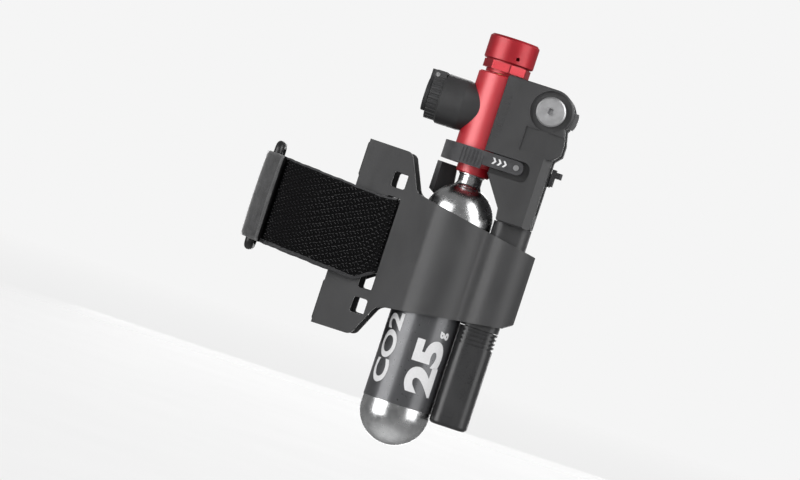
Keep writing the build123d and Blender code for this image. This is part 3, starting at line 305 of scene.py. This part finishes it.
def hook_nylon(name, color, rough, specular):
    """Black nylon of the hook tape or of its ground weave."""
    mat = new_material(name, color, rough, specular=specular)
    tree = Tree(mat)
    patch = tree.noise(0.8, 3.0)
    tree.color(tree.blend(tree.spread(patch, 0, 1), shade(color, 0.6), shade(color, 1.6)))
    tree.rough(tree.spread(patch, rough - 0.06, rough + 0.1))
    tree.bump((tree.noise(0.25), 0.02))
    return mat


def loop_pile(name, color):
    """Brushed loop pile: soft matted fibres in a dark grey felt."""
    mat = new_material(name, color, 0.95, specular=0.1, sheen=0.5)
    tree = Tree(mat)
    matted = tree.noise(0.28, 5.0, distort=1.5)
    clumps = tree.noise(1.9, 4.0, stretch=(1, 1, 1.6), distort=0.6)
    tone = tree.math("ADD", tree.spread(matted, 0, 0.5), tree.spread(clumps, 0, 0.5))
    tree.color(tree.blend(tone, shade(color, 0.55), shade(color, 1.35)))
    tree.rough(tree.spread(matted, 0.85, 1.0))
    tree.bump((clumps, 0.2), (matted, 0.09))
    return mat


def woven_selvedge(name):
    """Plain woven nylon at the tape's edges."""
    mat = new_material(name, (0.03, 0.03, 0.031), 0.7, specular=0.3, sheen=0.1)
    tree = Tree(mat)
    ribs = tree.noise(0.22, 2.0, stretch=(3, 3, 1))
    tree.color(tree.blend(tree.spread(ribs, 0, 1), (0.016, 0.016, 0.017), (0.05, 0.05, 0.052)))
    tree.rough(tree.spread(ribs, 0.5, 0.75))
    tree.bump((ribs, 0.04))
    return mat


def powder_coat(name, color):
    """Black powder-coated wire with orange peel and scuffed high spots."""
    mat = new_material(name, color, 0.4)
    tree = Tree(mat)
    peel = tree.noise(0.5, 2.0)
    rub = tree.spread(tree.noise(2.0, 4.0), 0, 0.5, 0.6, 0.8)
    tree.color(tree.blend(rub, color, shade(color, 2.2, 0.02)))
    tree.rough(tree.spread(peel, 0.32, 0.46))
    tree.bump((peel, 0.012))
    return mat


def rasp_steel(name):
    """Hardened reamer steel with small file teeth all over."""
    mat = new_material(name, (0.34, 0.34, 0.35), 0.36, metallic=1.0)
    tree = Tree(mat)
    teeth = tree.cells(0.5)
    haze = tree.noise(2.0, 4.0)
    tree.color(tree.blend(tree.spread(haze, 0, 1), (0.24, 0.24, 0.25), (0.42, 0.42, 0.43)))
    tree.rough(tree.spread(teeth, 0.28, 0.5, 0.1, 0.6))
    tree.bump((teeth, 0.12))
    return mat


def plug_cord(name):
    """Tacky brown tyre plug: twisted fibres soaked in rubber."""
    mat = new_material(name, (0.15, 0.07, 0.03), 0.5, coat=0.2)
    tree = Tree(mat)
    fibres = tree.noise(0.25, 4.0, stretch=(1, 1, 5), distort=2.0)
    tree.color(tree.blend(tree.spread(fibres, 0, 1), (0.07, 0.03, 0.014), (0.22, 0.11, 0.05)))
    tree.rough(tree.spread(fibres, 0.38, 0.62))
    tree.bump((fibres, 0.12))
    return mat


FLOOR_COLOR = (0.015, 0.015, 0.015)
FLOOR_GLOW = 0.825  # most of the floor's tone, so that the softboxes don't blotch it


def studio_floor(name, fade_start, fade_stop):
    """Pale floor that thins out into the background far from the object."""
    mat = new_material(name, FLOOR_COLOR, 0.85, specular=0.05)
    tree = Tree(mat)
    tree.shader.inputs["Emission Color"].default_value = (1, 1, 1, 1)
    tree.shader.inputs["Emission Strength"].default_value = FLOOR_GLOW
    tree.rough(tree.spread(tree.noise(60, 3.0), 0.8, 0.9))
    length = tree.nodes.new("ShaderNodeVectorMath")
    length.operation = "LENGTH"
    tree.put(tree.place, length.inputs[0])
    tree.put(tree.spread(length.outputs["Value"], 1, 0, fade_start, fade_stop), tree.shader.inputs["Alpha"])
    return mat


# ---- Materials on the CAD pieces ----
CARTRIDGE_X = 48.0  # the upright axis of the cartridge, the barrel and the knob
KNOB_BAND = (68.8, 71.7)  # heights between which the knob is polished
BAND_POLISH = 0.24
PIVOT = (68.2, 60.3)  # x and z of the folding tools' axis

GREY_NYLON = (0.038, 0.038, 0.039)
BLACK_NYLON = (0.033, 0.033, 0.034)
TOOL_NYLON = (0.036, 0.036, 0.037)
STAINLESS = (0.6, 0.6, 0.605)
BRASS = (0.72, 0.5, 0.2)

looks = {
    "holder_body": moulded_plastic("holder_nylon", GREY_NYLON),
    "saddle_pads": soft_rubber("pad_rubber", (0.016, 0.016, 0.016)),
    "strap_loop": powder_coat("loop_coat", (0.01, 0.01, 0.0105)),
    "cartridge_shell": cartridge_steel("cartridge_steel"),
    "cartridge_film": printed_film("cartridge_film"),
    "head_barrel": anodised_red("barrel_red", CARTRIDGE_X),
    "regulator_knob": anodised_red("knob_red", CARTRIDGE_X, blasted=True),
    "chuck_body": moulded_plastic("chuck_nylon", BLACK_NYLON, rough=0.4, grain_mm=0.24, depth_mm=0.006),
    "chuck_nozzle": moulded_plastic("nozzle_nylon", BLACK_NYLON, rough=0.5),
    "tool_shell_front": moulded_plastic("tool_nylon", TOOL_NYLON),
    "plug_tube": moulded_plastic("tube_nylon", (0.034, 0.034, 0.035), rough=0.38),
    "plug_tube_cap": moulded_plastic("cap_nylon", (0.026, 0.026, 0.027), rough=0.31, depth_mm=0.008),
    "retainer_band": soft_rubber("retainer_rubber", (0.032, 0.032, 0.034), 0.6),
    "dust_cover": soft_rubber("cover_rubber", (0.024, 0.024, 0.025)),
    "chuck_gasket": soft_rubber("seal_rubber", (0.02, 0.02, 0.02)),
    "reamer": rasp_steel("reamer_steel"),
    "tyre_plugs": plug_cord("plug_cord"),
    "pivot_screw": turned_metal("pivot_steel", (0.62, 0.62, 0.63), 0.44, PIVOT, marks_mm=0.2, depth_mm=0.006),
    "pivot_nut": turned_metal("screw_steel", STAINLESS, 0.34),
    "plug_fork": turned_metal("fork_steel", (0.5, 0.5, 0.505), 0.3),
    "knife_blade": turned_metal("knife_steel", (0.62, 0.62, 0.625), 0.24),
    "retainer_peg": turned_metal("peg_aluminium", (0.78, 0.78, 0.79), 0.3),
    "regulator_stem": turned_metal("brass", BRASS, 0.28, (CARTRIDGE_X,)),
}
same_look = {
    "tool_shell_rear": "tool_shell_front",
    "plug_insert": "chuck_gasket", "neck_seal": "chuck_gasket", "stem_o_ring": "chuck_gasket",
    "cartridge_seal": "regulator_stem", "valve_poppet": "regulator_stem",
    "valve_depressor": "regulator_stem", "pivot_spacers": "regulator_stem",
    "body_screw_1": "pivot_nut", "body_screw_2": "pivot_nut", "body_screw_3": "pivot_nut",
    "piercing_pin": "pivot_nut", "regulator_spring": "pivot_nut", "dust_cover_pin": "pivot_nut",
}
for node, mat in looks.items():
    nodes[node].data.materials[0] = mat
for node, other in same_look.items():
    nodes[node].data.materials[0] = looks[other]


# ---- Mesh helpers ----
def new_object(name, bm, mats, smooth=True):
    """Turns a bmesh in millimetres into an object in metres."""
    bmesh.ops.scale(bm, vec=(MM, MM, MM), verts=bm.verts)
    bmesh.ops.recalc_face_normals(bm, faces=bm.faces)
    mesh = bpy.data.meshes.new(name)
    bm.to_mesh(mesh)
    bm.free()
    for mat in mats:
        mesh.materials.append(mat)
    for face in mesh.polygons:
        face.use_smooth = smooth
    piece = bpy.data.objects.new(name, mesh)
    bpy.context.scene.collection.objects.link(piece)
    return piece


# ---- Strap: the ribbon's line in plan, then its two faces, hooks and pile, all in mm ----
POST_R = 15.8
STRAP_T = 1.8
LAYER_GAP = 0.1
LOOP_BAR_R, LOOP_BAR_Y = 1.6, 4.4
PLATE_HALF, WINDOW_GAP = 12.6, 0.15
PASS_X, BEND_R = 26.9, 2.6  # where the strap crosses the holder's window, and how it bends into it
LEAVE_DEG = 58  # where the strap leaves the loop's bar
FOLD_LAND_DEG, FOLD_END_DEG, TAIL_END_DEG = 150, 143, 96  # where the outer layer comes down and ends
STRAP_SLOPE, STRAP_TOP, STRAP_BOTTOM = -0.066, 16.0, -15.2
TUCK_X = 21.0  # right of it the strap bunches into the window
LOWER_TUCK, UPPER_TUCK = 4.6, 0.9  # how far its edges climb there
STEP = 0.55  # spacing of the ribbon's rows
COLUMNS = 44
SELVEDGE = 0.034  # share of the width that the plain woven edge takes
HOOK_FACE, SELVEDGE_FACE, PILE_FACE = 0.28, 0.1, -0.82  # the faces' heights off the ribbon's line
ROUNDING, EDGE_SHARE = 14, 0.45  # how soon the edges reach full thickness, and their share of it
FOLD_RAMP, END_ROWS = 14, 3  # rows over which the fold swells, and over which it thins at its end
FOLD_PUFF = 0.5
RIPPLES = ((0.07, 0.31, 0), (0.05, 0.83, 1))  # depth, rate per row and start of the waves along its edges
CROWN_MIDDLE, CROWN_FALL = 0.45, 3.2  # where across the width the fold is fullest, and its fall to the sides

INNER = POST_R + STRAP_T / 2
OUTER = POST_R + STRAP_T * 1.5 + LAYER_GAP
WRAP = LOOP_BAR_R + LAYER_GAP + STRAP_T / 2
BAR_DEG = math.degrees(math.asin(LOOP_BAR_Y / (INNER + WRAP)))
BAR_X = -math.sqrt((INNER + WRAP) ** 2 - LOOP_BAR_Y**2)
FACE_Y = PLATE_HALF + STRAP_T / 2 + WINDOW_GAP


def polar(radius, degrees, centre=(0, 0)):
    """The point at a radius and an angle round a centre."""
    angle = math.radians(degrees)
    return Vector((centre[0] + radius * math.cos(angle), centre[1] + radius * math.sin(angle)))


def arc(centre, radius, start, turn):
    """Points along an arc, about STEP apart, without its last point."""
    count = max(2, round(math.radians(abs(turn)) * radius / STEP))
    return [polar(radius, start + turn * i / count, centre) for i in range(count)]


def line(start, end):
    """Points along a straight line, about STEP apart, without its last point."""
    count = max(1, round((end - start).length / STEP))
    return [start.lerp(end, i / count) for i in range(count)]


def half_ribbon(side, end_deg):
    """Points on one side, from the window's middle to the free end.

    With them go how many lie before the turn round the loop's bar, and how many before the fold comes down.
    """
    corner = Vector((PASS_X - BEND_R, side * FACE_Y))
    tangent_deg = math.degrees(math.atan2(FACE_Y, corner.x) + math.acos(INNER / corner.length))
    bar = (BAR_X, side * LOOP_BAR_Y)
    leave = polar(WRAP, side * (180 - LEAVE_DEG), bar)
    land = polar(OUTER, side * FOLD_LAND_DEG)
    points = line(Vector((PASS_X, 0)), Vector((PASS_X, side * (FACE_Y - BEND_R))))
    points += arc((corner.x, side * (FACE_Y - BEND_R)), BEND_R, 0, side * 90)
    points += line(corner, polar(INNER, side * tangent_deg))
    around = 180 - BAR_DEG - tangent_deg
    points += arc((0, 0), INNER, side * tangent_deg, side * around)
    inner_count = len(points)
    wrap_turn = 180 + LEAVE_DEG - BAR_DEG
    points += arc(bar, WRAP, -side * BAR_DEG, -side * wrap_turn)
    fold_count = len(points)
    points += line(leave, land)
    points += arc((0, 0), OUTER, side * FOLD_LAND_DEG, side * (end_deg - FOLD_LAND_DEG))
    points.append(polar(OUTER, side * end_deg))
    return points, inner_count, fold_count


front_line, front_inner, front_fold = half_ribbon(-1, FOLD_END_DEG)
back_line, back_inner, back_fold = half_ribbon(1, TAIL_END_DEG)
ribbon = front_line[::-1] + back_line[1:]
hook_rows = range(len(front_line) - front_inner, len(front_line) + back_inner - 1)
fold_rows = (len(front_line) - front_fold, len(front_line) + back_fold - 1)


def ribbon_normal(row):
    """Unit normal in plan on the hook side: away from the seatpost on the inner layer."""
    ahead = ribbon[min(row + 1, len(ribbon) - 1)] - ribbon[max(row - 1, 0)]
    return Vector((ahead.y, -ahead.x)).normalized()


def fold_bulge(row, across):
    """How far the sewn fold puffs out past the flat ribbon, in mm."""
    inside = max(fold_rows[0] - row, row - fold_rows[1]) + FOLD_RAMP
    ends = min(1, (row + 1) / END_ROWS, (len(ribbon) - row) / END_ROWS)
    crown = 1 - CROWN_FALL * (across - CROWN_MIDDLE) ** 2
    return FOLD_PUFF * max(0, min(1, inside / FOLD_RAMP)) * ends * max(0, crown)


def tuck(row):
    """0 on the open strap, rising to 1 where it turns into the window."""
    spot = ribbon[row]
    return max(0, min(1, (spot.x - TUCK_X) / (PASS_X - TUCK_X)))


def ribbon_point(row, across, lift):
    """A point of the ribbon: across goes from 0 at the lower edge to 1, and lift is towards the hooks."""
    spot = ribbon[row] + ribbon_normal(row) * (lift - fold_bulge(row, across))
    low = STRAP_BOTTOM + STRAP_SLOPE * spot.x + LOWER_TUCK * tuck(row)
    high = STRAP_TOP + STRAP_SLOPE * spot.x + UPPER_TUCK * tuck(row)
    ripple = sum(depth * math.sin(rate * row + start) for depth, rate, start in RIPPLES)
    edge = ripple * (1 if across > 0.5 else -1) * abs(2 * across - 1)
    return Vector((spot.x, spot.y, low + (high - low) * across + edge))


def plumpness(across):
    """Share of the full thickness, less at the rounded edges."""
    return min(1, ROUNDING * min(across, 1 - across) + EDGE_SHARE)


def strap_ribbon():
    """The ribbon itself: hook side, pile side and rounded woven edges."""
    bm = bmesh.new()
    rows = []
    for row in range(len(ribbon)):
        ring = []
        for column in range(COLUMNS + 1):
            across = column / COLUMNS
            rise = HOOK_FACE if SELVEDGE < across < 1 - SELVEDGE else SELVEDGE_FACE
            ring.append(bm.verts.new(ribbon_point(row, across, rise * plumpness(across))))
        for column in range(COLUMNS, -1, -1):
            across = column / COLUMNS
            ring.append(bm.verts.new(ribbon_point(row, across, PILE_FACE * plumpness(across))))
        rows.append(ring)
    count = len(rows[0])
    for row in range(len(rows) - 1):
        for k in range(count):
            after = (k + 1) % count
            face = bm.faces.new((rows[row][k], rows[row][after], rows[row + 1][after], rows[row + 1][k]))
            across = k / COLUMNS
            if k >= COLUMNS:
                face.material_index = 1
            elif not SELVEDGE < across < 1 - SELVEDGE:
                face.material_index = 2
    for end in (rows[0], rows[-1]):
        bm.faces.new(end)
    return new_object("strap_ribbon", bm, [ground_mat, pile_mat, selvedge_mat])


HOOK_LINE = [(0, 0), (0.02, 0.42), (0.1, 0.72), (0.28, 0.86), (0.46, 0.76), (0.52, 0.52)]  # run and rise
HOOK_HALF, HOOK_TAPER = 0.1, 0.08
HOOK_COLUMNS, HOOK_PITCH = 24, 1.1
HOOK_FOOT = 0.15  # height of a hook's foot, and how far it strays along the ribbon
HOOK_STAGGER, HOOK_STRAY = 0.25, 0.12  # how far hooks stand off their column's middle, in columns
HOOK_TURN, HOOK_TWIST = 0.5, 0.35  # how far a hook turns off the ribbon's line, and strays from that
HOOK_REACH = (0.8, 1.15)  # how much of HOOK_LINE's run a hook takes
CORNERS = ((1, 1), (1, -1), (-1, -1), (-1, 1))


def add_hook(bm, foot, along, out, upright, lean):
    """One bent hook of square nylon, leaning along or against the ribbon."""
    rings = []
    for i, (run, rise) in enumerate(HOOK_LINE):
        centre = foot + along * (run * lean) + out * rise
        half = HOOK_HALF * (1 - HOOK_TAPER * i)
        before = HOOK_LINE[max(i - 1, 0)]
        after = HOOK_LINE[min(i + 1, len(HOOK_LINE) - 1)]
        way = (along * ((after[0] - before[0]) * lean) + out * (after[1] - before[1])).normalized()
        side = way.cross(upright).normalized()
        rings.append([bm.verts.new(centre + side * (half * a) + upright * (half * b)) for a, b in CORNERS])
    for low, high in zip(rings, rings[1:]):
        for k in range(4):
            bm.faces.new((low[k], low[(k + 1) % 4], high[(k + 1) % 4], high[k]))
    bm.faces.new(rings[-1])


def shows_hooks(row):
    """Whether a row of the inner layer is open to view, not under a folded layer."""
    spot = ribbon[row]
    around = math.degrees(math.atan2(abs(spot.y), spot.x))
    covered_from = FOLD_END_DEG if spot.y < 0 else TAIL_END_DEG
    return around < covered_from - 1


def strap_hooks():
    """Rows of hooks that lean in turn, all over the hook side that shows."""
    rng = random.Random(7)
    bm = bmesh.new()
    stride = max(1, round(HOOK_PITCH / STEP))
    for count, row in enumerate(range(hook_rows[0] + 1, hook_rows[-1], stride)):
        if not shows_hooks(row):
            continue
        ahead = (ribbon[row + 1] - ribbon[row - 1]).normalized()
        along = Vector((ahead.x, ahead.y, STRAP_SLOPE * ahead.x)).normalized()
        flat = ribbon_normal(row)
        out = Vector((flat.x, flat.y, 0))
        for column in range(HOOK_COLUMNS):
            shift = HOOK_STAGGER if count % 2 else -HOOK_STAGGER
            share = (column + 0.5 + shift + rng.uniform(-HOOK_STRAY, HOOK_STRAY)) / HOOK_COLUMNS
            across = SELVEDGE + share * (1 - 2 * SELVEDGE)
            lean = 1 if (column + count // 2) % 2 else -1
            foot = ribbon_point(row, across, HOOK_FOOT) + along * rng.uniform(-HOOK_FOOT, HOOK_FOOT)
            turn = Matrix.Rotation(lean * HOOK_TURN + rng.uniform(-HOOK_TWIST, HOOK_TWIST), 3, out)
            way = turn @ along
            add_hook(bm, foot, way, out, way.cross(out).normalized(), lean * rng.uniform(*HOOK_REACH))
    return new_object("strap_hooks", bm, [hook_mat], smooth=False)


FUZZ_ROOT = -0.8
FUZZ_HALF = 0.022
FUZZ_WIDTHS = (1, 0.8, 0.3)  # shares of the width at the root, the middle and the tip
FUZZ_REACH, FUZZ_ARCH, FUZZ_TIP = (0.25, 0.75), 0.16, (0.06, 0.3)  # length, and heights of middle and tip
FUZZ_COUNTS = (2300, 3600)  # fibres on the front fold and on the tail


def add_fibre(bm, rng, start, stop):
    """One flat fibre, rooted at random between two rows and lying some random way."""
    row = rng.randint(start, stop)
    root = ribbon_point(row, rng.uniform(0.005, 0.995), FUZZ_ROOT)
    flat = -ribbon_normal(row)
    out = Vector((flat.x, flat.y, 0))
    lay = Vector((rng.uniform(-1, 1), rng.uniform(-1, 1), rng.uniform(-1, 1)))
    lay = (lay - out * lay.dot(out)).normalized()
    width = out.cross(lay) * FUZZ_HALF
    reach = rng.uniform(*FUZZ_REACH)
    middle = root + lay * reach * 0.5 + out * FUZZ_ARCH
    tip = root + lay * reach + out * rng.uniform(*FUZZ_TIP)
    edges = [
        (bm.verts.new(spot - width * share), bm.verts.new(spot + width * share))
        for spot, share in zip((root, middle, tip), FUZZ_WIDTHS)
    ]
    for first, second in zip(edges, edges[1:]):
        bm.faces.new((first[0], first[1], second[1], second[0]))


def strap_fuzz():
    """Loose fibres standing off the pile on the fold and the tail."""
    rng = random.Random(11)
    bm = bmesh.new()
    spans = ((1, fold_rows[0] + 4), (fold_rows[1] - 4, len(ribbon) - 2))
    for (start, stop), amount in zip(spans, FUZZ_COUNTS):
        for _ in range(amount):
            add_fibre(bm, rng, start, stop)
    return new_object("strap_fuzz", bm, [pile_mat])


hook_mat = hook_nylon("hook_nylon", (0.012, 0.012, 0.013), 0.34, 0.5)
# Black nylon ground, darker than the hooks' nylon: partly its own colour, partly painted shade among the
# hooks.
ground_mat = hook_nylon("hook_ground", (0.003, 0.003, 0.0032), 0.8, 0.08)
pile_mat = loop_pile("loop_pile", (0.068, 0.068, 0.069))
selvedge_mat = woven_selvedge("woven_selvedge")
strap = strap_ribbon()
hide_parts("strap_webbing")
for piece in (strap, strap_hooks(), strap_fuzz()):
    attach(piece, "holder")


# ---- Printed marks ----
CART_R = 12.4
INK_LIFT = 0.03
MARK_FOOT = -47.6  # where the letters that read up the cartridge start
UNIT_FOOT = -26.6
SLICE = 0.4  # width of the strips that wrap the letters round
ARM_FACE = -12.5  # the retainer's printed face
CHEVRONS, CHEVRON_LEFT, CHEVRON_PITCH, CHEVRON_Z = 3, 54.0, 1.9, 38.0
CHEVRON = ((0, -1.1), (0.75, -1.1), (1.55, 0), (0.75, 1.1), (0, 1.1), (0.8, 0))


def flat_text(body, length_mm, height_mm, weight):
    """Letters as a flat bmesh in mm, fitted into a box at the origin, reading along +X."""
    curve = bpy.data.curves.new("letters", "FONT")
    curve.body = body
    curve.offset = weight
    curve.resolution_u = 8
    letters = bpy.data.objects.new("letters", curve)
    bpy.context.scene.collection.objects.link(letters)
    bpy.context.view_layer.update()
    mesh = bpy.data.meshes.new_from_object(letters)
    bm = bmesh.new()
    bm.from_mesh(mesh)
    bpy.data.objects.remove(letters)
    bpy.data.meshes.remove(mesh)
    left, right = min(v.co.x for v in bm.verts), max(v.co.x for v in bm.verts)
    low, high = min(v.co.y for v in bm.verts), max(v.co.y for v in bm.verts)
    for vert in bm.verts:
        along = (vert.co.x - left) / (right - left) * length_mm
        vert.co = Vector((along, (vert.co.y - low) / (high - low) * height_mm, 0))
    return bm


def film_mark(name, body, start_z, length_mm, left_deg, right_deg, weight):
    """Letters that read up the cartridge, wrapped round it between two angles from the front."""
    radius = CART_R + INK_LIFT
    height = math.radians(right_deg - left_deg) * radius
    bm = flat_text(body, length_mm, height, weight)
    slices = int(height / SLICE)
    for i in range(1, slices):
        everything = bm.verts[:] + bm.edges[:] + bm.faces[:]
        bmesh.ops.bisect_plane(bm, geom=everything, plane_co=(0, height * i / slices, 0), plane_no=(0, 1, 0))
    for vert in bm.verts:
        around = math.radians(right_deg) - vert.co.y / radius
        vert.co = Vector((
            CARTRIDGE_X + radius * math.sin(around), -radius * math.cos(around), start_z + vert.co.x,
        ))
    mark = new_object(name, bm, [ink_mat])
    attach(mark, "cartridge")


ink_mat = printed_ink("pale_ink", (0.6, 0.6, 0.605))
film_mark("mark_gas", "CO2", MARK_FOOT, 25.4, -62, -29, 0.03)
film_mark("mark_mass", "25", MARK_FOOT, 19.8, 3, 57, 0.05)
film_mark("mark_unit", "g", UNIT_FOOT, 2.6, 38, 56, 0.03)


def chevron_marks():
    """Printed chevrons on the retainer's arm, pointing the way it pulls."""
    bm = bmesh.new()
    for i in range(CHEVRONS):
        left = CHEVRON_LEFT + CHEVRON_PITCH * i
        verts = [bm.verts.new((left + x, ARM_FACE - INK_LIFT, CHEVRON_Z + z)) for x, z in CHEVRON]
        bm.faces.new((verts[0], verts[1], verts[2], verts[5]))
        bm.faces.new((verts[5], verts[2], verts[3], verts[4]))
    marks = new_object("mark_chevrons", bm, [ink_mat], smooth=False)
    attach(marks, "kit")


chevron_marks()


# ---- Studio ----
LEAN_DEG = 18.15  # the seatpost leans this far to the right in the picture
VIEW_DEG = 4.6
DISTANCE = 1.7  # from the camera to the frame's origin, in metres
SENSOR = 36
PICTURE_WIDTH = 800
PX_PER_MM = 2.85
AIM = (30.0, -8.0)  # picture centre, in mm right and up from the frame's origin in the leaning picture
FLOOR_R_MM = 3200
FLOOR_Z, FLOOR_FADE = -0.1, (1.0, 2.6)  # its height, and the distances over which it thins out, in metres
BACKDROP_TONE = 0.913  # what the camera sees past the floor
FILL_TONE = 0.2  # what lights the part between the softboxes
BELOW_TONE, SLANT_TONE = 0.66, 0.3  # what gloss sees straight below, and on a steep slant
SLANT_SHARE, LEVEL_SHARE = 0.16, 0.4  # where the slant's and the fill's tones lie, from 0 below to 1 above
PART_X = 0.03  # the softboxes face the part's middle

# name, degrees round from the camera, degrees up, distance, width, height, radiance, whether gloss sees it
SOFTBOXES = (
    ("left_box", -54, 4, 1.2, 0.95, 1.3, 4.2, True),
    ("right_box", 62, 36, 1.2, 1.0, 0.9, 4.4, True),
    ("right_low_box", 60, 0, 1.2, 0.8, 0.55, 2.4, True),
    ("back_box", 178, 8, 1.3, 0.45, 1.4, 3.6, True),
    ("front_box", 0, 0, 1.6, 1.2, 1.2, 3.2, False),
    ("back_left_box", -135, 18, 1.3, 1.0, 1.1, 3.4, False),
    ("back_right_box", 140, 24, 1.3, 1.1, 1.0, 3.4, False),
)


def add_camera():
    """A level camera, turned about its view so that the seatpost leans as in the picture."""
    lean, view = math.radians(LEAN_DEG), math.radians(VIEW_DEG)
    across = Vector((math.cos(view), math.sin(view), 0))
    away = Vector((-math.sin(view), math.cos(view), 0))
    right = across * math.cos(lean) + UP * math.sin(lean)
    up = UP * math.cos(lean) - across * math.sin(lean)
    place = (right * AIM[0] + up * AIM[1]) * MM - away * DISTANCE
    data = bpy.data.cameras.new("camera")
    data.sensor_width = SENSOR
    data.lens = PX_PER_MM * SENSOR * (DISTANCE / MM) / PICTURE_WIDTH
    data.clip_end = 50
    camera = bpy.data.objects.new("camera", data)
    camera.matrix_world = Matrix((
        (right.x, up.x, -away.x, place.x),
        (right.y, up.y, -away.y, place.y),
        (right.z, up.z, -away.z, place.z),
        (0, 0, 0, 1),
    ))
    bpy.context.scene.collection.objects.link(camera)
    bpy.context.scene.camera = camera


def add_floor():
    """Pale floor under the part, thinned out far from it. It neither reflects in the part nor lights it."""
    bm = bmesh.new()
    bmesh.ops.create_circle(bm, cap_ends=True, segments=96, radius=FLOOR_R_MM)
    floor = new_object("floor", bm, [studio_floor("floor", *FLOOR_FADE)], smooth=False)
    floor.location.z = FLOOR_Z
    floor.visible_glossy = False
    floor.visible_diffuse = False


def ground_tone(tree):
    """Grey by direction: pale straight below, like the ground, and the fill's tone from a low slant up."""
    height = tree.nodes.new("ShaderNodeSeparateXYZ")
    tree.links.new(tree.nodes.new("ShaderNodeTexCoord").outputs["Generated"], height.inputs["Vector"])
    share = tree.nodes.new("ShaderNodeMapRange")
    share.inputs["From Min"].default_value = -1
    tree.links.new(height.outputs["Z"], share.inputs["Value"])
    ramp = tree.nodes.new("ShaderNodeValToRGB")
    tree.links.new(share.outputs["Result"], ramp.inputs["Fac"])
    below, level = ramp.color_ramp.elements
    level.position = LEVEL_SHARE
    below.color = (BELOW_TONE, BELOW_TONE, BELOW_TONE, 1)
    level.color = (FILL_TONE, FILL_TONE, FILL_TONE, 1)
    ramp.color_ramp.elements.new(SLANT_SHARE).color = (SLANT_TONE, SLANT_TONE, SLANT_TONE, 1)
    return ramp.outputs["Color"]


def set_world():
    """Pale to the camera and dim to the part, so that the softboxes draw the highlights."""
    world = bpy.data.worlds.new("studio")
    world.use_nodes = True
    tree = world.node_tree
    path = tree.nodes.new("ShaderNodeLightPath")
    gloss = tree.nodes.new("ShaderNodeMix")
    gloss.inputs["A"].default_value = FILL_TONE
    tree.links.new(path.outputs["Is Glossy Ray"], gloss.inputs["Factor"])
    tree.links.new(ground_tone(tree), gloss.inputs["B"])
    tone = tree.nodes.new("ShaderNodeMapRange")
    tone.inputs["To Max"].default_value = BACKDROP_TONE
    tree.links.new(path.outputs["Is Camera Ray"], tone.inputs["Value"])
    tree.links.new(gloss.outputs["Result"], tone.inputs["To Min"])
    tree.links.new(tone.outputs["Result"], tree.nodes["Background"].inputs["Color"])
    bpy.context.scene.world = world


def add_softbox(name, turn_deg, rise_deg, away, width, height, radiance, glossy):
    """A softbox at an angle round from the camera's side and up, facing the part."""
    turn, rise = math.radians(turn_deg + VIEW_DEG), math.radians(rise_deg)
    out = Vector((math.sin(turn) * math.cos(rise), -math.cos(turn) * math.cos(rise), math.sin(rise)))
    data = bpy.data.lights.new(name, "AREA")
    data.shape = "RECTANGLE"
    data.size = width
    data.size_y = height
    data.energy = radiance * math.pi * width * height
    light = bpy.data.objects.new(name, data)
    light.location = Vector((PART_X, 0, 0)) + out * away
    light.rotation_euler = (-out).to_track_quat("-Z", "Y").to_euler()
    light.visible_glossy = glossy
    bpy.context.scene.collection.objects.link(light)


add_camera()
set_world()
add_floor()
for box in SOFTBOXES:
    add_softbox(*box)
bpy.context.scene.view_settings.view_transform = "Standard"
